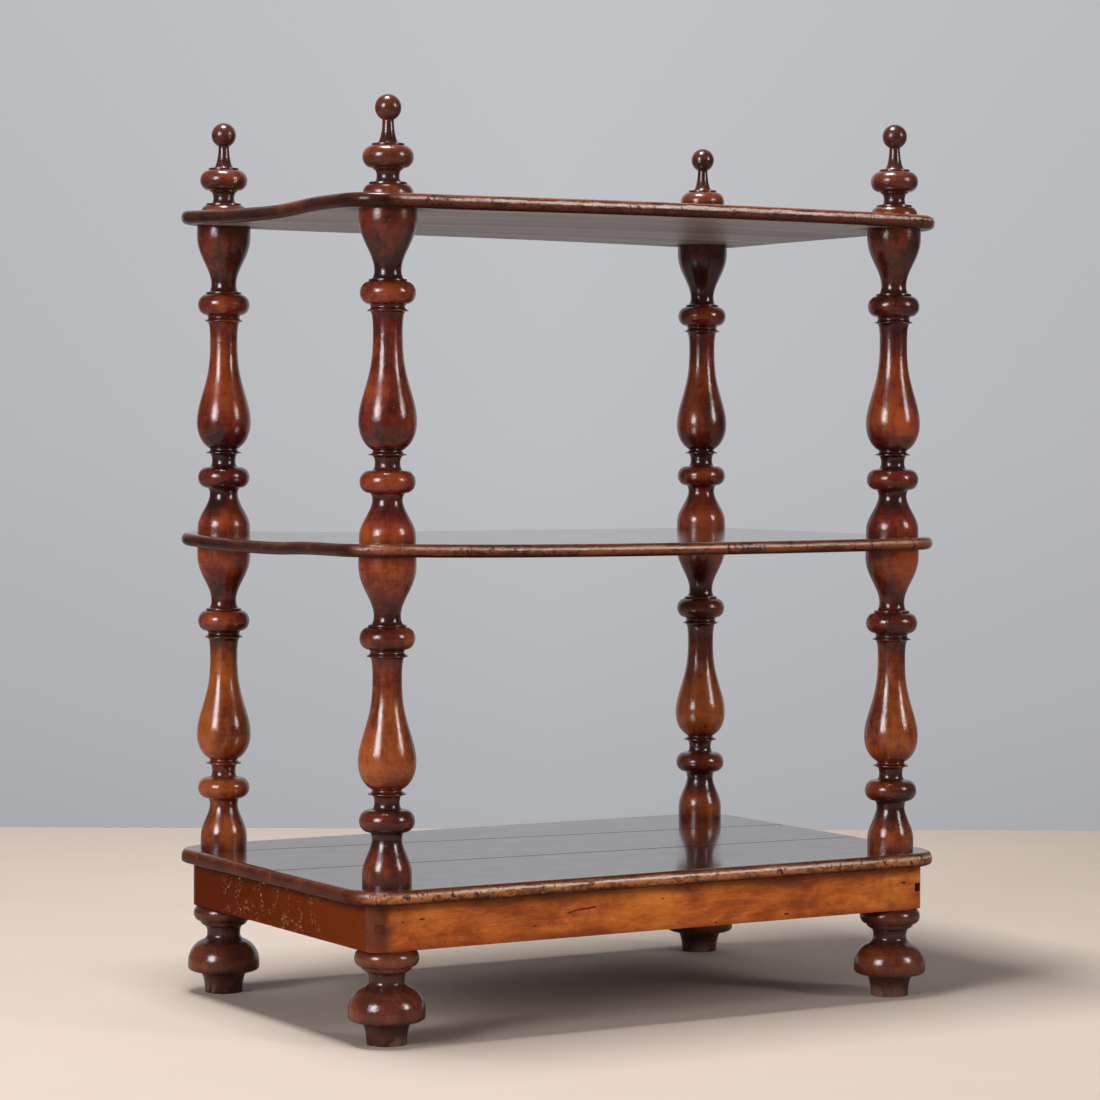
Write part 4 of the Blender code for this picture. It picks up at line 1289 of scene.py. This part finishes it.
def top_warp(settings):
    """The top shelf: its left end waves in depth, its back left corner lifts and its middle is crowned."""
    def left_end(y):
        """Levels along the left end: low behind the middle, a quick rise before it, and a lift at the back."""
        front = min(1.0, max(0.0, (-y - WAVE_START) / WAVE_LENGTH))
        back = max(0.0, (y + WAVE_LOW_PLACE) / (SHELF_Y - WAVE_LOW_PLACE)) ** WAVE_BACK_POWER
        return settings.curl * (WAVE_FRONT * (3 * front ** 2 - 2 * front ** 3) + WAVE_BACK * back - 1.0)

    def warp(x, y):
        rise = settings.crown * (1 - ((x - CROWN_PLACE) / CROWN_REACH) ** 2)
        left = min(1.0, max(0.0, -x / SHELF_X)) ** END_POWER
        back = max(0.0, y / SHELF_Y) ** 2 * settings.lift * (BACK_LIFT - BACK_LIFT_SLOPE * x / SHELF_X)
        return rise * (1 - left) + left_end(y) * left + back * (1 - left)
    return warp


def middle_warp(settings):
    """The middle shelf sags along its front, and its left corners stand high, the back one more."""
    def warp(x, y):
        middle = max(0.0, 1 - (x / COLUMN_X) ** 2)
        left = min(1.0, max(0.0, -x / COLUMN_X)) ** END_POWER
        fold = 1 / (1 + math.exp((y + FOLD_PLACE) / FOLD_REACH))
        corner = max(0.0, (y + FOLD_PLACE / 2) / (SHELF_Y + FOLD_PLACE / 2)) ** CORNER_POWER
        sunk = settings.sag * middle * (0.5 - 0.5 * y / SHELF_Y)
        return settings.lift * left * ((fold - 0.5) * FOLD_LIFT + CORNER_LIFT * corner) - sunk
    return warp


def add_camera():
    """The camera at the photograph's place and angle."""
    data = bpy.data.cameras.new("camera")
    data.sensor_width = SENSOR_WIDTH
    data.lens = CAMERA_LENS
    camera = in_scene("camera", data)
    ahead = Vector((
        math.sin(CAMERA_TURN) * math.cos(CAMERA_PITCH), math.cos(CAMERA_TURN) * math.cos(CAMERA_PITCH),
        math.sin(CAMERA_PITCH)))
    level = Vector((math.cos(CAMERA_TURN), -math.sin(CAMERA_TURN), 0.0))
    upright = level.cross(ahead)
    right = level * math.cos(CAMERA_ROLL) + upright * math.sin(CAMERA_ROLL)
    up = upright * math.cos(CAMERA_ROLL) - level * math.sin(CAMERA_ROLL)
    turn = Matrix((right, up, -ahead)).transposed()
    camera.matrix_world = Matrix.Translation(CAMERA_PLACE) @ turn.to_4x4()
    bpy.context.scene.camera = camera


def heading(degrees):
    """A level direction from the object towards the camera, turned to the right by some degrees."""
    turn = CAMERA_TURN + math.pi - math.radians(degrees)
    return Vector((math.sin(turn), math.cos(turn), 0.0))


def matte(name, colour, variation, scale):
    """A matte material with faint clouds, its nodes and its shader."""
    made = bpy.data.materials.new(name)
    made.use_nodes = True
    nodes = Nodes(made.node_tree)
    darker = tuple(part * (1 - variation) for part in colour)
    shader = made.node_tree.nodes["Principled BSDF"]
    nodes.fill(shader, {
        "Base Color": nodes.mixed(nodes.clouds(nodes.place(), scale, 4.0, 0.6), darker, colour),
        "Roughness": STAGE_ROUGHNESS, "Specular IOR Level": STAGE_SHINE})
    return made, nodes, Output(nodes, shader.outputs[0])


def stage_piece(name, verts, material, nodes, seen):
    """A four-sided stage object, whose material is what is seen from its front, and clear from behind."""
    behind = nodes.make("ShaderNodeNewGeometry", output="Backfacing")
    shown = nodes.shaders(behind, seen, nodes.make("ShaderNodeBsdfTransparent"))
    nodes.fill(material.node_tree.nodes["Material Output"], {"Surface": shown})
    mesh = bpy.data.meshes.new(name)
    mesh.from_pydata(verts, [], [(0, 1, 2, 3)])
    mesh.materials.append(material)
    in_scene(name, mesh)


def add_floor(colour):
    """A wide pale floor that fades into the background far off, and is dim in what mirrors it."""
    material, nodes, painted = matte("floor_surface", colour, variation=0.06, scale=6.0)
    far = nodes.vector_math("LENGTH", nodes.place(), output="Value").limits(*FLOOR_FADE)
    path = nodes.add("ShaderNodeLightPath").outputs
    black = nodes.make("ShaderNodeBsdfDiffuse", {"Color": BLACK})
    painted = nodes.shaders(Output(nodes, path["Is Glossy Ray"]) * FLOOR_DIMMING, painted, black)
    haze = nodes.make("ShaderNodeEmission", {"Color": BACKGROUND})
    seen = nodes.shaders(far * Output(nodes, path["Is Camera Ray"]), painted, haze)
    reach = FLOOR_REACH
    corners = [(-reach, -reach, 0.0), (reach, -reach, 0.0), (reach, reach, 0.0), (-reach, reach, 0.0)]
    stage_piece("floor", corners, material, nodes, seen)


def add_wall(colour):
    """A wall behind the object, which glows for the camera and in reflections, paler towards its top and its middle
    as painted light and shade.
    """
    ahead = -heading(0.0)
    aside = Vector((ahead.y, -ahead.x, 0.0))
    foot = Vector((CAMERA_PLACE[0], CAMERA_PLACE[1], 0.0)) + ahead * WALL_DISTANCE

    material, nodes, painted = matte("wall_surface", colour, variation=0.04, scale=1.5)
    place = nodes.place()
    shade = nodes.tones(nodes.parts(place)[2] * (1 / WALL_SHADE_HEIGHT), WALL_TONES)
    offset = nodes.vector_math("DOT_PRODUCT", place, tuple(aside), output="Value")
    strength = 1.0 - abs(offset - foot.dot(aside)) * WALL_SIDE_SHADE
    glow = nodes.make("ShaderNodeEmission", {"Color": shade, "Strength": strength})
    path = nodes.add("ShaderNodeLightPath").outputs
    camera, glossy, through = (
        Output(nodes, path[name]) for name in ("Is Camera Ray", "Is Glossy Ray", "Is Transmission Ray"))
    seen = nodes.shaders(camera.at_least(glossy.at_least(through)), painted, glow)
    left, right = (foot + aside * side * WALL_HALF_WIDTH for side in (-1, 1))
    rise = Vector((0.0, 0.0, WALL_HEIGHT))
    stage_piece("wall", [left, right, right + rise, left + rise], material, nodes, seen)


def add_lamp(name, power, size, place, aim, colour):
    """A soft, four-sided lamp that shines from a place in a direction."""
    data = bpy.data.lights.new(name, "AREA")
    data.shape = "RECTANGLE"
    data.size, data.size_y = size
    data.energy = power
    data.color = colour
    turn = aim.to_track_quat("-Z", "Y").to_matrix()
    in_scene(name, data).matrix_world = Matrix.Translation(place) @ turn.to_4x4()


def add_standing_lamp(name, power, stand, colour):
    """A lamp that stands some way off and faces the object."""
    size, degrees, distance, height = stand
    place = heading(degrees) * distance + Vector((0.0, 0.0, height))
    add_lamp(name, power, size, place, Vector(LAMP_AIM) - place, colour)


def light_world(strength):
    """Even, low light from all round, which a camera sees as a pale grey."""
    world = bpy.data.worlds.new("studio")
    world.use_nodes = True
    nodes = Nodes(world.node_tree)
    path = nodes.add("ShaderNodeLightPath").outputs
    seen = Output(nodes, path["Is Camera Ray"]).at_least(Output(nodes, path["Is Transmission Ray"]))
    dim = nodes.make("ShaderNodeBackground", {"Color": SKY_COLOUR, "Strength": strength})
    pale = nodes.make("ShaderNodeBackground", {"Color": BACKGROUND})
    nodes.fill(world.node_tree.nodes["World Output"], {"Surface": nodes.shaders(seen, dim, pale)})
    bpy.context.scene.world = world


class ETAGERE_OT_columns(bpy.types.Operator):
    """Turn the eight columns"""

    bl_idname = "etagere.columns"
    bl_label = "Columns"

    def execute(self, context):
        upper = column_outline(TOP_LEVEL, MIDDLE_TOP, UPPER_FOOT_RADIUS, UPPER_FOOT_DRUM_HEIGHT)
        lower = column_outline(MIDDLE_LEVEL, BASE_TOP, LOWER_FOOT_RADIUS, LOWER_FOOT_DRUM_HEIGHT)
        turned_pieces(
            context, ("upper_column", upper, UPPER_COLUMN_SEED), ("lower_column", lower, LOWER_COLUMN_SEED))
        return {"FINISHED"}


class ETAGERE_OT_finials(bpy.types.Operator):
    """Turn the four finials"""

    bl_idname = "etagere.finials"
    bl_label = "Finials"

    def execute(self, context):
        turned_pieces(context, ("finial", finial_outline(FINIAL_TOP, TOP_TOP), FINIAL_SEED))
        return {"FINISHED"}


class ETAGERE_OT_feet(bpy.types.Operator):
    """Turn the four feet"""

    bl_idname = "etagere.feet"
    bl_label = "Feet"

    def execute(self, context):
        turned_pieces(context, ("foot", foot_outline(APRON_LEVEL, 0.0), FOOT_SEED))
        return {"FINISHED"}


class ETAGERE_OT_shelves(bpy.types.Operator):
    """Shape the top and middle shelves"""

    bl_idname = "etagere.shelves"
    bl_label = "Shelves"

    def execute(self, context):
        settings = context.scene.etagere_boards
        dent = dents(settings.wear)
        front, back = (rounded_side(SHELF_X, SHELF_Y, SHELF_CORNER_RADIUS, SHELF_EDGE_RADIUS, side)
                       for side in (-1, 1))
        polished = wood("polished_shelf", BOARD_POLISH, board_finish, settings)
        bare = wood("bare_underside", UNDERSIDE_POLISH, underside_finish)
        for node, bottom, top, warp, tones, highlight_share, dark_end in (
                ("top_shelf", TOP_LEVEL, TOP_TOP, top_warp, SHELF_EDGE_TONES, TOP_HIGHLIGHT, TOP_DARK_END),
                ("middle_shelf", MIDDLE_LEVEL, MIDDLE_TOP, middle_warp, MIDDLE_EDGE_TONES, MIDDLE_HIGHLIGHT,
                 NO_DARK_END)):
            edge = wood(f"wear_and_sheen_{node}_edge", EDGE_POLISH, edge_finish, settings, tones, SHELF_SIDE_TONES,
                        SHELF_PITS, highlight_share, dark_end)
            mesh = board_mesh(
                node, front, back, bottom, top, warp(settings), dent, SHELF_EDGE_RADIUS, SHELF_EDGE_RADIUS)
            finished_board(node, "_board", mesh, (polished, edge, bare))
        return {"FINISHED"}


class ETAGERE_OT_base(bpy.types.Operator):
    """Shape the three boards of the base"""

    bl_idname = "etagere.base"
    bl_label = "Base boards"

    def execute(self, context):
        settings = context.scene.etagere_boards
        dent = dents(settings.wear * BASE_WEAR)
        front, back = (rounded_side(BASE_X, BASE_Y, BASE_CORNER_RADIUS, BASE_EDGE_RADIUS, side)
                       for side in (-1, 1))

        def joint(share, tilt):
            """The two sides of a joint: of the board before it and of the board behind it."""
            return [joint_side(len(front), share, tilt, side) for side in (1, -1)]

        front_end, middle_start = joint(-FRONT_JOINT_SHARE, FRONT_JOINT_TILT)
        middle_end, back_start = joint(BACK_JOINT_SHARE, BACK_JOINT_TILT)
        woods = (
            wood("polished_base", BOARD_POLISH, board_finish, settings),
            wood("wear_and_sheen_base_edge", EDGE_POLISH, edge_finish, settings, BASE_EDGE_TONES, BASE_SIDE_TONES,
                 BASE_PITS, BASE_HIGHLIGHT, NO_DARK_END),
            wood("bare_underside", UNDERSIDE_POLISH, underside_finish))
        for place, sides in (
                ("front", (front, front_end)), ("middle", (middle_start, middle_end)), ("back", (back_start, back))):
            node = f"base_board_{place}"
            mesh = board_mesh(
                node, *sides, BASE_LEVEL, BASE_TOP, no_warp, dent, BASE_EDGE_RADIUS, BASE_EDGE_RADIUS / 2)
            finished_board(node, "_plank", mesh, woods)
        return {"FINISHED"}


class ETAGERE_OT_apron(bpy.types.Operator):
    """Finish the rails of the apron and its corner blocks"""

    bl_idname = "etagere.apron"
    bl_label = "Apron"

    def execute(self, context):
        settings = context.scene.etagere_rails
        long_wood = wood("polished_long_rail", FRONT_RAIL_POLISH, front_rail_finish, settings)
        short_wood = wood("polished_short_rail", SIDE_RAIL_POLISH, side_rail_finish, settings)
        block_wood = wood("bare_block", BLOCK_POLISH, block_finish)
        woods = {"apron_front": long_wood, "apron_back": long_wood, "apron_left": short_wood,
                 "apron_right": short_wood}
        woods.update((f"corner_block_{corner}", block_wood) for corner in CORNERS)
        for node, material in woods.items():
            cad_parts[node].material_slots[0].material = material
        return {"FINISHED"}


class ETAGERE_OT_stage(bpy.types.Operator):
    """Set the floor, the wall, the lamps and the camera"""

    bl_idname = "etagere.stage"
    bl_label = "Stage"

    def execute(self, context):
        settings = context.scene.etagere_stage
        add_camera()
        add_floor(tuple(settings.floor))
        add_wall(tuple(settings.wall))
        add_standing_lamp("left_lamp", settings.left_power, LEFT_LAMP, LEFT_LAMP_COLOUR)
        add_standing_lamp("right_lamp", settings.right_power, RIGHT_LAMP, RIGHT_LAMP_COLOUR)
        add_lamp("top_lamp", settings.top_power, TOP_LAMP_SIZE, TOP_LAMP_PLACE, Vector((0.0, 0.0, -1.0)), WHITE)
        light_world(settings.fill)
        context.scene.view_settings.view_transform = "Standard"
        return {"FINISHED"}


class ETAGERE_PT_looks(bpy.types.Panel):
    """Lists what the etagere is dressed with"""

    bl_label = "Etagere"
    bl_space_type = "VIEW_3D"
    bl_region_type = "UI"
    bl_category = "Etagere"

    def draw(self, context):
        for operator in OPERATORS:
            self.layout.operator(operator.bl_idname)
        for group in SETTINGS:
            box = self.layout.box()
            values = getattr(context.scene, group)
            for name in values.__annotations__:
                box.prop(values, name)


SETTINGS = {
    "etagere_turning": TurningSettings,
    "etagere_boards": BoardSettings,
    "etagere_rails": RailSettings,
    "etagere_stage": StageSettings,
}
OPERATORS = (
    ETAGERE_OT_feet,
    ETAGERE_OT_apron,
    ETAGERE_OT_base,
    ETAGERE_OT_columns,
    ETAGERE_OT_shelves,
    ETAGERE_OT_finials,
    ETAGERE_OT_stage,
)


def register():
    """Makes the settings, operators and panel known to Blender."""
    for name, group in SETTINGS.items():
        bpy.utils.register_class(group)
        setattr(bpy.types.Scene, name, PointerProperty(type=group))
    for operator in OPERATORS:
        bpy.utils.register_class(operator)
    bpy.utils.register_class(ETAGERE_PT_looks)


def unregister():
    """Takes them away again."""
    bpy.utils.unregister_class(ETAGERE_PT_looks)
    for operator in reversed(OPERATORS):
        bpy.utils.unregister_class(operator)
    for name, group in SETTINGS.items():
        delattr(bpy.types.Scene, name)
        bpy.utils.unregister_class(group)


def main():
    """Dresses the frame."""
    register()
    for operator in OPERATORS:
        category, name = operator.bl_idname.split(".")
        getattr(getattr(bpy.ops, category), name)()
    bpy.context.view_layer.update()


if __name__ == "__main__":
    main()
